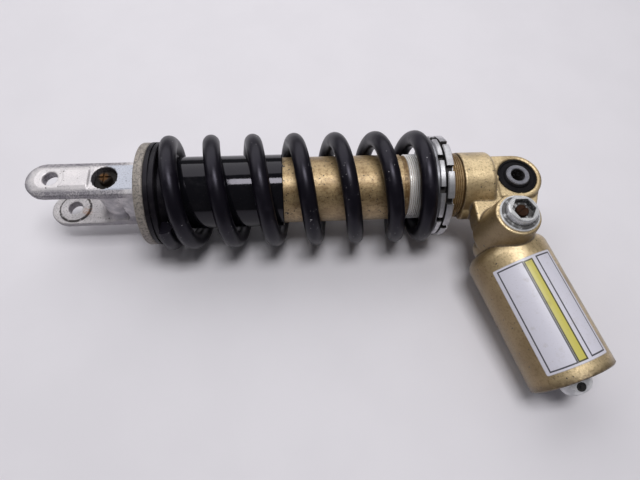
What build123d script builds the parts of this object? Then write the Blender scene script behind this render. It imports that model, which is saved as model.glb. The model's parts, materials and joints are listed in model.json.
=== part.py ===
"""Rear shock absorber of a small off-road motorcycle: piggyback reservoir, coil spring, clevis foot.

Millimetres. The row frame has its origin at the centre of the upper eye. +X runs along the shock axis
from the lower clevis towards the eye, and +Z is the axis of both mounting bolts.
Stations are distances along an axis: along +X for the shock, and from the foot of the perpendicular
dropped from the eye for the reservoir.
"""

import math
import os

from build123d import *

# ---------------------------------------------------------------- clearances
running_gap = 0.05  # shaft in bush, radial
seat_gap = 0.05  # piece resting in a bore, radial
slide_gap = 0.6  # dust tube over the damper tube, radial
snug_gap = 0.02  # piece pressed or screwed on, radial
face_gap = 0.3  # faces on different bodies that come close
o_ring_side_gap = 0.2  # O-ring in its groove, each side
join_overlap = 0.1  # solids that are joined share this much
cut_margin = 1.0  # cutters run this far past the face they open

# ---------------------------------------------------------------- overall
eye_to_clevis = 331.8
mount_bore_radius = 5.1
bolt_bore_chamfer = 0.5

# ---------------------------------------------------------------- upper eye
eye_radius = 18.6
eye_half_width = 11.0
eye_edge_round = 1.6
eye_face_corner = 17.6
collar_radius = 8.7
collar_half_length = 12.5
collar_chamfer = 0.6
needle_radius = 1.25
needle_count = 20
needle_half_length = 5.0
bearing_shell_wall = 1.6
bearing_lip_gap = 0.5
eye_seal_radius = 14.6
eye_seal_thickness = 3.6
eye_seal_recess = 0.4
eye_seal_ribs = 36
eye_seal_rib_depth = 0.5
eye_seal_notch_width = 0.9
eye_seal_notch_depth = 0.8
eye_seal_rim = 1.2
eye_seal_lip = 0.8
eye_seal_dish_depth = 0.8
eye_seal_dish_slope = 0.6

# ---------------------------------------------------------------- head casting, barrel end
head_radius = 24.3
head_to_eye = 45.6
head_barrel_length = 24.6
head_barrel_round = 3.4
tube_spigot_length = 9.0
tube_spigot_wall = 2.2
chamber_depth = 12.0

# ---------------------------------------------------------------- head casting, bridge to the reservoir
bridge_top = 12.0
bridge_bottom = -6.0
bridge_top_round = 1.8
bridge_foot_round = 5.0
bridge_setback = 7.4  # from the start of the head
bridge_waist_y = 35.5
bridge_foot_x = 34.0
bridge_foot_y = 54.0
bridge_end_x = 24.0
bridge_end_y = 60.0
bridge_boss_share = 0.9  # of the boss's radius, past its centre
bridge_inner_share = 0.25  # the same beside the eye
gusset_top = 8.0
gusset_foot_rise = 2.0
gusset_waist_y = 23.5
gusset_waist_setback = 8.0
gusset_rim_angle = math.radians(8)
gusset_bottom = -9.0
gallery_radius = 8.0
gallery_y = -19.5
gallery_z = -2.0
gallery_end_x = -37.0

# ---------------------------------------------------------------- compression adjuster
boss_radius = 15.2  # at its top
boss_draft = math.radians(7.6)
boss_top = 34.4
boss_bottom = -2.0
boss_foot_round = 4.0
boss_edge_round = 0.9
boss_reach = 35.9
housing_flange_radius = 13.3
housing_flange_thickness = 2.4
housing_flange_step = 0.9
housing_flange_shoulder = 0.8
housing_flange_bevel = 0.6
housing_body_radius = 12.0
housing_foot = 6.0
housing_groove_height = 5.0
housing_valve_bore_radius = 4.0
adjuster_radius = 9.9
adjuster_height = 5.5
adjuster_top_chamfer = 0.8
adjuster_shank_radius = 8.0
adjuster_shank_foot = 18.0
hex_across_flats = 14.0
hex_depth = 4.9
bleed_screw_head_radius = 4.3
bleed_screw_head_height = 2.4
bleed_screw_chamfer = 0.4
bleed_screw_clocking = 35.0
bleed_screw_shank_radius = 3.0
bleed_screw_foot = 10.0
screw_slot_width = 1.3
screw_slot_depth = 1.2
valve_piston_radius = 10.5
valve_piston_thickness = 4.4
valve_shim_radius = 8.5
valve_shim_thickness = 0.4
valve_shim_count = 3
valve_port_radius = 1.3
valve_port_count = 6
passage_radius = 3.0
passage_setback = 0.5  # from the end of the oil chamber
valve_floor_gap = 2.0

# ---------------------------------------------------------------- reservoir
reservoir_splay = 71.5  # degrees from +X towards -Y
reservoir_droop = 5.4  # degrees below the plane of the eye's face
reservoir_offset = 33.2  # its axis passes this far from the eye's centre
reservoir_radius = 28.2
reservoir_wall = 3.8
reservoir_shoulder = 43.0
reservoir_shoulder_round = 9.0
reservoir_length = 97.7
reservoir_floor_thickness = 15.0
reservoir_rim_chamfer = 0.8
neck_radius = 19.5
neck_start = 31.0
neck_start_round = 7.8
cap_recess = 4.6
cap_thickness = 7.0
cap_clip_width = 1.6
cap_clip_depth = 1.3
cap_clip_ring_width = 2.4
cap_clip_opening = 34.0
cap_groove_height = 2.2
dome_radius = 10.6
dome_height = 11.0
dome_round = 7.9
bladder_gap = 2.0
bladder_wall = 1.5
bladder_end_gap = 8.0
bladder_bead = 3.4
bladder_end_bevel = 6.0
gas_valve_tilt = 18.0  # degrees from upright, about the reservoir's axis
gas_valve_setback = 5.2  # from the tip of the dome
gas_valve_radius = 3.0
gas_valve_depth = 7.0
gas_valve_recess = 1.6
gas_pin_radius = 0.9
gas_pin_travel = 1.5
gas_pin_stem = 1.2
gas_pin_hole_depth = 4.0  # below the valve

# ---------------------------------------------------------------- damper tube
tube_radius = 24.0
tube_wall = 4.0
tube_edge_chamfer = 0.5
tube_groove_standoff = 1.5  # from the head casting
thread_length = 39.4
thread_pitch = 1.5
thread_depth = 0.8
thread_root_flat = 0.2
thread_crest_flat = 0.3
undercut_length = 3.6
undercut_depth = 1.0

tube_bore_radius = tube_radius - tube_wall

# ---------------------------------------------------------------- preload nuts
nut_radius = 37.0
adjuster_nut_thickness = 4.8
lock_nut_thickness = 5.6
lock_nut_standoff = 11.4  # from the head casting
nut_relief_radius = 31.0
nut_relief_depth = 0.6
nut_slot_count = 10
nut_slot_width = 4.6
nut_slot_depth = 4.0
nut_edge_chamfer = 0.7
adjuster_nut_clocking = 54.0
lock_nut_clocking = 67.0
lock_nut_hub_radius = 29.5
lock_nut_hub_height = 1.4
spring_washer_thickness = 1.5
spring_washer_radius = 36.0

# ---------------------------------------------------------------- spring
wire_radius = 6.0
spring_bore_gap = 3.25  # outside the dust tube, radial
spring_clocking = 38.0
active_turns = 6.0
lower_closed_turns = 236.0 / 360.0
upper_closed_turns = 273.0 / 360.0
tip_height = 2.0  # wire centre above its ground face at each tip
lower_closed_rise = 2.2
upper_closed_rise = 5.5

# ---------------------------------------------------------------- lower seat and dust tube
seat_radius = 37.0
seat_thickness = 7.5
seat_groove_width = 1.2
seat_groove_depth = 1.4
seat_groove_height = 3.2
seat_collar_gap = 0.5  # inside the spring, radial
seat_collar_height = 8.0
seat_collar_chamfer = 1.0
seat_edge_chamfer = 0.6
dust_tube_wall = 1.65
dust_tube_overlap = 7.0
dust_tube_foot_width = 2.2
dust_tube_foot_thickness = 2.0
dust_tube_lip = 0.6

# ---------------------------------------------------------------- clevis
clevis_half_width = 13.1
clevis_half_depth = 24.4
clevis_crown_half_width = 6.0
clevis_crown_drop = 2.4
clevis_tip = 17.1  # from the bolt hole to the end
clevis_slot_half_width = 17.6
clevis_slot_root_round = 9.0
clevis_slot_reach = 43.8  # from the bolt hole to the root
clevis_land_radius = 11.2
clevis_land_height = 0.8
clevis_spotface_radius = 9.0
clevis_spotface_depth = 0.4
clevis_flange_inset = 0.2  # inside the rim of the lower seat
clevis_flange_reach = 58.8  # from the bolt hole to the flange
clevis_flange_thickness = 6.5
clevis_flange_round = 1.4
clevis_hub_radius = 13.8
clevis_hub_flare = 17.0
clevis_flat_depth = 1.1
clevis_flat_start = 25.3  # from the bolt hole
rod_socket_depth = 19.5

# ---------------------------------------------------------------- rebound adjuster
rebound_reach = 35.8  # from the bolt hole to the screw
rebound_post_radius = 11.0
rebound_post_round = 8.0
rebound_pocket_radius = 8.8
rebound_pocket_depth = 9.0
rebound_bush_thickness = 4.5
rebound_bush_chamfer = 0.8
rebound_screw_head_radius = 4.4
rebound_screw_head_height = 5.2
rebound_screw_chamfer = 0.5
rebound_screw_radius = 3.0
rebound_screw_foot = -8.0
rebound_needle_radius = 3.0
rebound_needle_taper = 2.0
rebound_needle_tip_radius = 1.2
rebound_needle_travel = 2.0
bleed_orifice_radius = 1.5
bleed_orifice_length = 2.7

# ---------------------------------------------------------------- rod, seal head and piston
stroke = 69.0
rod_radius = 7.0
rod_stub_radius = 6.0
rod_end_chamfer = 0.8
bump_stop_radius = 15.0
bump_stop_length = 14.0
bump_stop_waist = 2.2
bump_stop_waist_reach = 2.0  # either side of its middle
bump_stop_chamfer = 2.0
bump_washer_radius = 17.0
bump_washer_thickness = 1.6
dust_cap_thickness = 3.0
scraper_radius = 11.0
scraper_lip = 1.5
scraper_lip_height = 1.0
clip_width = 1.6
clip_depth = 1.0
clip_ring_width = 2.7
clip_opening = 30.0
clip_standoff = 1.4
seal_head_length = 22.0
oil_seal_radius = 12.0
oil_seal_length = 6.0
oil_seal_lip = 2.5
rod_bush_radius = 8.5
rod_bush_length = 12.0
rod_bush_standoff = 2.0  # from the end of the seal head
o_ring_width = 2.4
o_ring_depth = 2.0
top_out_radius = 11.5
top_out_length = 6.4
piston_gap = 0.6
piston_length = 14.0
piston_band_width = 9.0
piston_band_wall = 1.2
piston_band_opening = 3.0
piston_port_radius = 1.8
piston_port_circle = 13.5
piston_port_count = 8
backing_washer_radius = 11.0
backing_washer_thickness = 1.5
shim_thickness = 0.3
rebound_shim_radii = (12.5, 14.0, 15.5, 17.0)
compression_shim_radii = (17.0, 15.5, 14.0, 12.5)
piston_nut_across_flats = 19.0
piston_nut_thickness = 8.0
rod_end_margin = 1.0
piston_radius = tube_bore_radius - piston_gap

# ---------------------------------------------------------------- radii that follow from each other
dust_tube_bore = tube_radius + slide_gap
dust_tube_radius = dust_tube_bore + dust_tube_wall
clevis_flange_radius = seat_radius - clevis_flange_inset
spring_radius = dust_tube_radius + spring_bore_gap + 2 * wire_radius

# ---------------------------------------------------------------- frames
SHOCK = Plane(origin=(0, 0, 0), x_dir=(0, 1, 0), z_dir=(1, 0, 0))
EYE = Plane.XY

splay = math.radians(reservoir_splay)
droop = math.radians(reservoir_droop)
reservoir_direction = (
    math.cos(droop) * math.cos(splay),
    -math.cos(droop) * math.sin(splay),
    -math.sin(droop),
)
reservoir_side = (math.sin(splay), math.cos(splay), 0)
RESERVOIR = Plane(
    origin=(-reservoir_offset * math.sin(splay), -reservoir_offset * math.cos(splay), 0),
    x_dir=reservoir_side,
    z_dir=reservoir_direction,
)
boss_centre = (
    RESERVOIR.origin.X + boss_reach * math.cos(splay),
    RESERVOIR.origin.Y - boss_reach * math.sin(splay),
)
BOSS = Plane(origin=(*boss_centre, 0))

# ---------------------------------------------------------------- stations along the shock
clevis_hole = -eye_to_clevis
slot_root = clevis_hole + clevis_slot_reach
rebound_station = clevis_hole + rebound_reach
flange_back = clevis_hole + clevis_flange_reach
flange_top = flange_back + clevis_flange_thickness
seat_top = flange_top + seat_thickness
REBOUND = Plane(origin=(rebound_station, 0, 0))

head_start = -head_to_eye
barrel_end = head_start + head_barrel_length
tube_seal_start = head_start + 2 * o_ring_side_gap + tube_groove_standoff
thread_start = head_start - thread_length
undercut_start = thread_start - undercut_length
lock_nut_top = head_start - lock_nut_standoff
lock_nut_bottom = lock_nut_top - lock_nut_thickness
adjuster_nut_bottom = lock_nut_bottom - adjuster_nut_thickness
spring_washer_bottom = adjuster_nut_bottom - spring_washer_thickness

bump_washer_top = flange_top + bump_washer_thickness
bump_stop_top = bump_washer_top + bump_stop_length
tube_end = bump_stop_top + stroke + face_gap
dust_cap_top = tube_end + dust_cap_thickness
clip_start = dust_cap_top + clip_standoff
seal_head_start = clip_start + clip_width
seal_head_end = seal_head_start + seal_head_length
rod_bush_start = seal_head_end - rod_bush_length - rod_bush_standoff
top_out_start = seal_head_end + face_gap
rod_shoulder = top_out_start + top_out_length
rebound_shims_start = rod_shoulder + backing_washer_thickness
piston_start = rebound_shims_start + shim_thickness * len(rebound_shim_radii)
piston_end = piston_start + piston_length
compression_shims_end = piston_end + shim_thickness * len(compression_shim_radii)
piston_nut_start = compression_shims_end + backing_washer_thickness
piston_nut_end = piston_nut_start + piston_nut_thickness
rod_end = piston_nut_end + rod_end_margin
rod_foot = flange_top - rod_socket_depth
needle_bore_radius = rebound_needle_radius + running_gap
needle_bore_end = rod_end - bleed_orifice_length
needle_tip = needle_bore_end - rebound_needle_travel - 2 * running_gap
needle_foot = rebound_station + rebound_screw_radius + running_gap

# ---------------------------------------------------------------- stations along the reservoir
reservoir_end = reservoir_shoulder + reservoir_length
reservoir_bore_radius = reservoir_radius - reservoir_wall
reservoir_bore_start = reservoir_shoulder + reservoir_floor_thickness
cap_outer_face = reservoir_end - cap_recess
cap_inner_face = cap_outer_face - cap_thickness
cap_groove_start = cap_inner_face + cap_groove_height
gas_pin_hole_floor = dome_radius - gas_valve_depth - gas_pin_hole_depth
dome_tip = reservoir_end + dome_height
gas_valve_station = dome_tip - gas_valve_setback

# ---------------------------------------------------------------- heights on the compression adjuster
adjuster_foot = boss_top + housing_flange_thickness + running_gap
adjuster_top = adjuster_foot + adjuster_height
socket_floor = adjuster_top - hex_depth
valve_piston_top = housing_foot - running_gap
valve_piston_bottom = valve_piston_top - valve_piston_thickness
valve_shims_bottom = valve_piston_bottom - valve_shim_thickness * valve_shim_count
boss_floor = valve_shims_bottom - valve_floor_gap
housing_groove_start = housing_foot + housing_groove_height

FROM_START = (Align.CENTER, Align.CENTER, Align.MIN)


# ---------------------------------------------------------------- shape helpers
def turned(frame, profile):
    """Solid of revolution about the frame's Z axis, from (station, radius) points."""
    outline = Polyline(*[(radius, 0, station) for station, radius in profile], close=True)
    return frame * revolve(make_face(outline), Axis.Z)


def disc(frame, radius, start, end):
    """Cylinder about the frame's Z axis between two stations."""
    return frame * Pos(0, 0, start) * Cylinder(radius, end - start, align=FROM_START)


def ring(frame, outer, inner, start, end):
    """Plain ring about the frame's Z axis between two stations."""
    return turned(frame, [(start, inner), (start, outer), (end, outer), (end, inner)])


def around(frame, count, first, shape):
    """Copies of a shape modelled in the frame's own axes, evenly spaced about its Z axis."""
    return [frame * Rotation(0, 0, first + 360 * i / count) * shape for i in range(count)]


def drilling(start, end, radius):
    """Straight round hole between two points."""
    along = Vector(*end) - Vector(*start)
    return Plane(origin=start, z_dir=along) * Cylinder(radius, along.length, align=FROM_START)


def hexagon(frame, across_flats, start, end):
    """Hexagonal prism about the frame's Z axis between two stations."""
    outline = RegularPolygon(across_flats / 2, 6, major_radius=False)
    return frame * Pos(0, 0, start) * extrude(outline, end - start)


def open_ring(frame, outer, inner, start, end, opening):
    """Snap ring with a gap of so many degrees."""
    section = Pos(0, 0, start) * Polyline(
        (inner, 0, 0), (outer, 0, 0), (outer, 0, end - start), (inner, 0, end - start), close=True
    )
    return frame * Rotation(0, 0, opening / 2) * revolve(make_face(section), Axis.Z, 360 - opening)


# ---------------------------------------------------------------- head casting
def head_barrel():
    """Round end that the damper tube screws into."""
    barrel = disc(SHOCK, head_radius, head_start, barrel_end)
    return fillet(barrel.edges().group_by(Axis.X)[-1], head_barrel_round)


def eye_slab():
    """Flat-faced eye with the land that joins it to the barrel."""
    land_length = -(barrel_end - head_barrel_round)
    land = Rectangle(land_length, eye_radius + eye_face_corner, align=(Align.MAX, Align.MIN))
    outline = Circle(eye_radius) + Pos(0, -eye_face_corner) * land
    slab = extrude(outline, eye_half_width, both=True)
    return fillet(slab.edges().filter_by(Plane.XY), eye_edge_round)


def bridge():
    """Flat-topped block between the barrel and the compression boss."""
    left = head_start + bridge_setback
    right = boss_centre[0] + boss_radius * bridge_inner_share
    outline = Polyline(
        (left, 0),
        (left, -bridge_waist_y),
        (-bridge_foot_x, -bridge_foot_y),
        (-bridge_end_x, -bridge_end_y),
        (boss_centre[0] + boss_radius * bridge_boss_share, boss_centre[1]),
        (right, -eye_face_corner),
        (right, 0),
        close=True,
    )
    block = Pos(0, 0, bridge_bottom) * extrude(make_face(outline), bridge_top - bridge_bottom)
    block = fillet(block.edges().group_by(Axis.Z)[-1], bridge_top_round)
    return fillet(block.edges().group_by(Axis.Z)[0], bridge_foot_round)


def gusset():
    """Lower web between the eye and the compression boss."""
    rim_y = eye_radius * math.sin(gusset_rim_angle)
    rim_x = eye_radius * math.cos(gusset_rim_angle)
    outline = Polyline(
        (boss_centre[0], 0),
        boss_centre,
        (boss_centre[0] + boss_radius, boss_centre[1] + gusset_foot_rise),
        (rim_x - gusset_waist_setback, -gusset_waist_y),
        (rim_x, -rim_y),
        (0, 0),
        close=True,
    )
    return Pos(0, 0, gusset_bottom) * extrude(make_face(outline), gusset_top - gusset_bottom)


def gallery():
    """Rounded boss over the oil gallery beside the barrel."""
    origin = (head_start, gallery_y, gallery_z)
    run = drilling(origin, (gallery_end_x, gallery_y, gallery_z), gallery_radius)
    return run + Pos(gallery_end_x, gallery_y, gallery_z) * Sphere(gallery_radius)


def reservoir_shell():
    """Outside of the reservoir, with its neck and rounded shoulder."""
    body = Pos(0, 0, reservoir_shoulder) * Cylinder(reservoir_radius, reservoir_length, align=FROM_START)
    body = fillet(body.edges().group_by(Axis.Z)[0], reservoir_shoulder_round)
    body = chamfer(body.edges().group_by(Axis.Z)[-1], reservoir_rim_chamfer)
    neck_length = reservoir_shoulder + reservoir_shoulder_round - neck_start
    neck = Pos(0, 0, neck_start) * Cylinder(neck_radius, neck_length, align=FROM_START)
    neck = fillet(neck.edges().group_by(Axis.Z)[0], neck_start_round)
    return RESERVOIR * (body + neck)


def compression_boss():
    """Upright boss for the compression adjuster, wider towards its foot."""
    height = boss_top - boss_bottom
    foot_radius = boss_radius + height * math.tan(boss_draft)
    boss = Pos(0, 0, boss_bottom) * Cone(foot_radius, boss_radius, height, align=FROM_START)
    boss = fillet(boss.edges().group_by(Axis.Z)[-1], boss_edge_round)
    return BOSS * fillet(boss.edges().group_by(Axis.Z)[0], boss_foot_round)


def head_casting():
    """One casting: barrel, eye, compression boss and reservoir."""
    body = reservoir_shell() + head_barrel() + eye_slab() + gusset()
    body += bridge() + compression_boss() + gallery()
    spigot_end = head_start + tube_spigot_length
    body -= disc(SHOCK, tube_bore_radius + tube_spigot_wall + seat_gap, head_start - cut_margin, spigot_end)
    body -= disc(SHOCK, tube_bore_radius, head_start, head_start + chamber_depth)
    shell_radius = collar_radius + running_gap + 2 * needle_radius + running_gap + bearing_shell_wall
    body -= disc(EYE, shell_radius, -2 * eye_half_width, 2 * eye_half_width)
    seal_seat = eye_half_width - eye_seal_recess - eye_seal_thickness
    body -= disc(EYE, eye_seal_radius + seat_gap, seal_seat, 2 * eye_half_width)
    body -= disc(EYE, eye_seal_radius + seat_gap, -2 * eye_half_width, -seal_seat)
    body -= disc(BOSS, housing_body_radius + seat_gap, boss_floor, 2 * boss_top)
    passage_station = head_start + chamber_depth - passage_radius - passage_setback
    gallery_start = (passage_station, -tube_bore_radius / 2, 0)
    body -= drilling(gallery_start, (*boss_centre, (boss_floor + valve_piston_bottom) / 2), passage_radius)
    body -= disc(RESERVOIR, passage_radius, boss_reach, reservoir_bore_start + cut_margin)
    body -= disc(RESERVOIR, reservoir_bore_radius, reservoir_bore_start, reservoir_end + cut_margin)
    groove = reservoir_bore_radius + cap_clip_depth
    body -= disc(RESERVOIR, groove, cap_outer_face + running_gap, cap_outer_face + running_gap + cap_clip_width)
    return body


# ---------------------------------------------------------------- eye bearing
def eye_collar():
    """Steel sleeve that the upper bolt passes through."""
    sleeve = ring(EYE, collar_radius, mount_bore_radius, -collar_half_length, collar_half_length)
    rims = sleeve.edges().filter_by(GeomType.CIRCLE)
    return chamfer(rims, collar_chamfer)


def needle_rollers():
    """Rollers between sleeve and shell."""
    pitch_radius = collar_radius + running_gap + needle_radius
    roller = Pos(pitch_radius, 0, 0) * Cylinder(needle_radius, 2 * needle_half_length)
    return Compound(children=around(EYE, needle_count, 0, roller))


def bearing_shell():
    """Drawn shell pressed into the eye."""
    inner = collar_radius + running_gap + 2 * needle_radius + running_gap
    half_length = eye_half_width - eye_seal_recess - eye_seal_thickness - running_gap
    shell = ring(EYE, inner + bearing_shell_wall, inner, -half_length, half_length)
    lip_height = half_length - needle_half_length - bearing_lip_gap
    for start in (-half_length, half_length - lip_height):
        shell += ring(EYE, inner + join_overlap, collar_radius + 4 * running_gap, start, start + lip_height)
    return shell


def eye_seals():
    """Ribbed rubber seals on both faces of the eye."""
    outer_face = eye_half_width - eye_seal_recess
    inner_face = outer_face - eye_seal_thickness
    dish = outer_face - eye_seal_dish_depth
    lip = collar_radius + running_gap
    profile = [
        (inner_face, lip),
        (inner_face, eye_seal_radius),
        (outer_face, eye_seal_radius),
        (outer_face, eye_seal_radius - eye_seal_rim),
        (dish, eye_seal_radius - eye_seal_rim - eye_seal_dish_slope),
        (dish, lip + eye_seal_lip + eye_seal_dish_slope),
        (outer_face, lip + eye_seal_lip),
        (outer_face, lip),
    ]
    seal = turned(EYE, profile)
    cutter = Box(2 * eye_seal_rib_depth, eye_seal_notch_width, 2 * eye_seal_notch_depth)
    notch = Pos(eye_seal_radius, 0, outer_face) * cutter
    for cut in around(EYE, eye_seal_ribs, 0, notch):
        seal -= cut
    return Compound(children=[seal, mirror(seal, Plane.XY)])


# ---------------------------------------------------------------- damper tube and spring adjustment
def damper_tube():
    """Tube with the preload thread, drawn as rings at the thread's pitch, and a spigot for the head."""
    spigot_end = head_start + tube_spigot_length
    spigot_radius = tube_bore_radius + tube_spigot_wall
    groove_start = tube_seal_start
    groove_end = groove_start + o_ring_width
    thread_flank = (thread_pitch - thread_root_flat - thread_crest_flat) / 2
    profile = [
        (tube_end, tube_bore_radius),
        (tube_end, tube_radius - tube_edge_chamfer),
        (tube_end + tube_edge_chamfer, tube_radius),
        (undercut_start, tube_radius),
        (undercut_start, tube_radius - undercut_depth),
        (thread_start, tube_radius - undercut_depth),
    ]
    for turn in range(int(thread_length / thread_pitch)):
        root_end = thread_start + turn * thread_pitch + thread_root_flat / 2
        crest_start = root_end + thread_flank
        crest_end = crest_start + thread_crest_flat
        profile.append((root_end, tube_radius - thread_depth))
        profile.append((crest_start, tube_radius))
        profile.append((crest_end, tube_radius))
        profile.append((crest_end + thread_flank, tube_radius - thread_depth))
    profile += [
        (head_start, tube_radius - thread_depth),
        (head_start, spigot_radius),
        (groove_start - o_ring_side_gap, spigot_radius),
        (groove_start - o_ring_side_gap, spigot_radius - o_ring_depth / 2),
        (groove_end + o_ring_side_gap, spigot_radius - o_ring_depth / 2),
        (groove_end + o_ring_side_gap, spigot_radius),
        (spigot_end, spigot_radius),
        (spigot_end, tube_bore_radius),
    ]
    tube = turned(SHOCK, profile)
    groove = disc(SHOCK, tube_bore_radius + clip_depth, clip_start, clip_start + clip_width)
    return tube - groove


def tube_seal():
    """O-ring between tube and head."""
    outer = tube_bore_radius + tube_spigot_wall
    inner = outer - o_ring_depth / 2 + snug_gap
    return ring(SHOCK, outer, inner, tube_seal_start, tube_seal_start + o_ring_width)


def castellated_nut(bottom, top, relief_at_top, clocking):
    """Preload nut: chamfered rim with spanner slots, relieved where the two nuts meet."""
    bore = tube_radius + running_gap
    rim_bottom = bottom if relief_at_top else bottom + nut_relief_depth
    rim_top = top - nut_relief_depth if relief_at_top else top
    profile = [
        (rim_bottom, bore),
        (rim_bottom, nut_radius - nut_edge_chamfer),
        (rim_bottom + nut_edge_chamfer, nut_radius),
        (rim_top - nut_edge_chamfer, nut_radius),
        (rim_top, nut_radius - nut_edge_chamfer),
        (rim_top, bore),
    ]
    nut = turned(SHOCK, profile) + ring(SHOCK, nut_relief_radius, bore, bottom, top)
    slot_length = 2 * nut_slot_depth
    slot = Pos(nut_radius, 0, (bottom + top) / 2) * Box(slot_length, nut_slot_width, 2 * (top - bottom))
    for cut in around(SHOCK, nut_slot_count, clocking, slot):
        nut -= cut
    return nut


def adjuster_nut():
    """Nut that sets the spring preload."""
    return castellated_nut(adjuster_nut_bottom, lock_nut_bottom - running_gap, True, adjuster_nut_clocking)


def lock_nut():
    """Nut that jams the adjuster nut, with a low hub on its free side."""
    nut = castellated_nut(lock_nut_bottom, lock_nut_top, False, lock_nut_clocking)
    bore = tube_radius + running_gap
    return nut + ring(SHOCK, lock_nut_hub_radius, bore, lock_nut_top, lock_nut_top + lock_nut_hub_height)


def spring_washer():
    """Hardened washer between spring and adjuster nut."""
    bore = tube_radius + running_gap
    top = adjuster_nut_bottom - running_gap
    return ring(SHOCK, spring_washer_radius, bore, spring_washer_bottom, top)


# ---------------------------------------------------------------- spring
def spring_leg(first_angle, turns, start, rise):
    """Helical centre line of one stretch of the spring, about the local Z axis."""
    leg = Helix(pitch=rise / turns, height=rise, radius=spring_radius - wire_radius)
    return Pos(0, 0, start) * Rotation(0, 0, first_angle) * leg


def coil_spring():
    """Right-hand spring with closed and ground ends."""
    lower_tip = seat_top + tip_height
    lift_off = lower_tip + lower_closed_rise
    upper_tip = spring_washer_bottom - tip_height
    settle = upper_tip - upper_closed_rise
    tip_angle = spring_clocking - 360 * lower_closed_turns
    legs = [
        spring_leg(tip_angle, lower_closed_turns, lower_tip, lower_closed_rise),
        spring_leg(spring_clocking, active_turns, lift_off, settle - lift_off),
        spring_leg(spring_clocking + 360 * active_turns, upper_closed_turns, settle, upper_closed_rise),
    ]
    path = Wire([edge for leg in legs for edge in leg.edges()])
    section = Plane(origin=path @ 0, z_dir=path % 0) * Circle(wire_radius)
    wire = sweep(section, path=path, is_frenet=True)
    reach = 3 * spring_radius
    wire -= Pos(0, 0, seat_top - wire_radius) * Box(reach, reach, 2 * wire_radius)
    wire -= Pos(0, 0, spring_washer_bottom + wire_radius) * Box(reach, reach, 2 * wire_radius)
    return SHOCK * wire


# ---------------------------------------------------------------- lower seat and dust tube
def lower_seat():
    """Moulded seat under the spring, grooved round its rim."""
    bore = dust_tube_radius + seat_gap
    foot_radius = dust_tube_radius + dust_tube_foot_width + seat_gap
    foot_top = flange_top + dust_tube_foot_thickness + seat_gap
    collar = spring_radius - 2 * wire_radius - seat_collar_gap
    groove_start = flange_top + seat_groove_height
    groove_end = groove_start + seat_groove_width
    profile = [
        (flange_top, foot_radius),
        (flange_top, seat_radius - seat_edge_chamfer),
        (flange_top + seat_edge_chamfer, seat_radius),
        (groove_start, seat_radius),
        (groove_start, seat_radius - seat_groove_depth),
        (groove_end, seat_radius - seat_groove_depth),
        (groove_end, seat_radius),
        (seat_top - seat_edge_chamfer, seat_radius),
        (seat_top, seat_radius - seat_edge_chamfer),
        (seat_top, collar),
        (seat_top + seat_collar_height - seat_collar_chamfer, collar),
        (seat_top + seat_collar_height, collar - seat_collar_chamfer),
        (seat_top + seat_collar_height, bore),
        (foot_top, bore),
        (foot_top, foot_radius),
    ]
    return turned(SHOCK, profile)


def dust_tube():
    """Plastic tube that covers the rod and slides over the damper tube."""
    top = tube_end + dust_tube_overlap
    foot_radius = dust_tube_radius + dust_tube_foot_width
    foot_top = flange_top + dust_tube_foot_thickness
    profile = [
        (flange_top, dust_tube_bore),
        (flange_top, foot_radius),
        (foot_top, foot_radius),
        (foot_top, dust_tube_radius),
        (top - dust_tube_lip, dust_tube_radius),
        (top, dust_tube_radius - dust_tube_lip),
        (top, dust_tube_bore),
    ]
    return turned(SHOCK, profile)


# ---------------------------------------------------------------- clevis
def clevis_outline(half_depth):
    """Ear outline seen along the bolt, as a prism."""
    tip_centre = clevis_hole - clevis_tip + clevis_half_width
    outline = Pos(tip_centre, 0) * Circle(clevis_half_width)
    length = flange_back + cut_margin - tip_centre
    outline += Pos(tip_centre + length / 2, 0) * Rectangle(length, 2 * clevis_half_width)
    return extrude(outline, half_depth, both=True)


def clevis_blank():
    """Ears in one block, with crowned faces that run round the tip."""
    shoulder = clevis_half_depth - clevis_crown_drop
    tip_centre = clevis_hole - clevis_tip + clevis_half_width
    crown = Polyline(
        (0, -clevis_half_width, -shoulder),
        (0, -clevis_crown_half_width, -clevis_half_depth),
        (0, clevis_crown_half_width, -clevis_half_depth),
        (0, clevis_half_width, -shoulder),
        (0, clevis_half_width, shoulder),
        (0, clevis_crown_half_width, clevis_half_depth),
        (0, -clevis_crown_half_width, clevis_half_depth),
        (0, -clevis_half_width, shoulder),
        close=True,
    )
    length = flange_back + cut_margin - tip_centre
    bar = Pos(tip_centre, 0, 0) * extrude(make_face(crown), length, dir=(1, 0, 0))
    tip = [
        (-clevis_half_depth, 0),
        (-clevis_half_depth, clevis_crown_half_width),
        (-shoulder, clevis_half_width),
        (shoulder, clevis_half_width),
        (clevis_half_depth, clevis_crown_half_width),
        (clevis_half_depth, 0),
    ]
    return bar + turned(Plane(origin=(tip_centre, 0, 0)), tip)


def clevis_hub():
    """Flared hub and flange, turned about the shock axis."""
    flare_start = flange_back - clevis_hub_flare
    flare_radius = clevis_hub_radius + clevis_hub_flare
    arc = CenterArc((flare_radius, flare_start), clevis_hub_flare, 180, -90)
    section = Polyline(
        (0, flare_start),
        (clevis_hub_radius, flare_start),
    )
    outer = Polyline(
        (flare_radius, flange_back),
        (clevis_flange_radius, flange_back),
        (clevis_flange_radius, flange_top),
        (0, flange_top),
        (0, flare_start),
    )
    profile = Plane.XZ * make_face([*section.edges(), *arc.edges(), *outer.edges()])
    hub = SHOCK * revolve(profile, Axis.Z)
    rims = hub.edges().filter_by(GeomType.CIRCLE).group_by(SortBy.RADIUS)[-1]
    return fillet(rims, clevis_flange_round)


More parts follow.
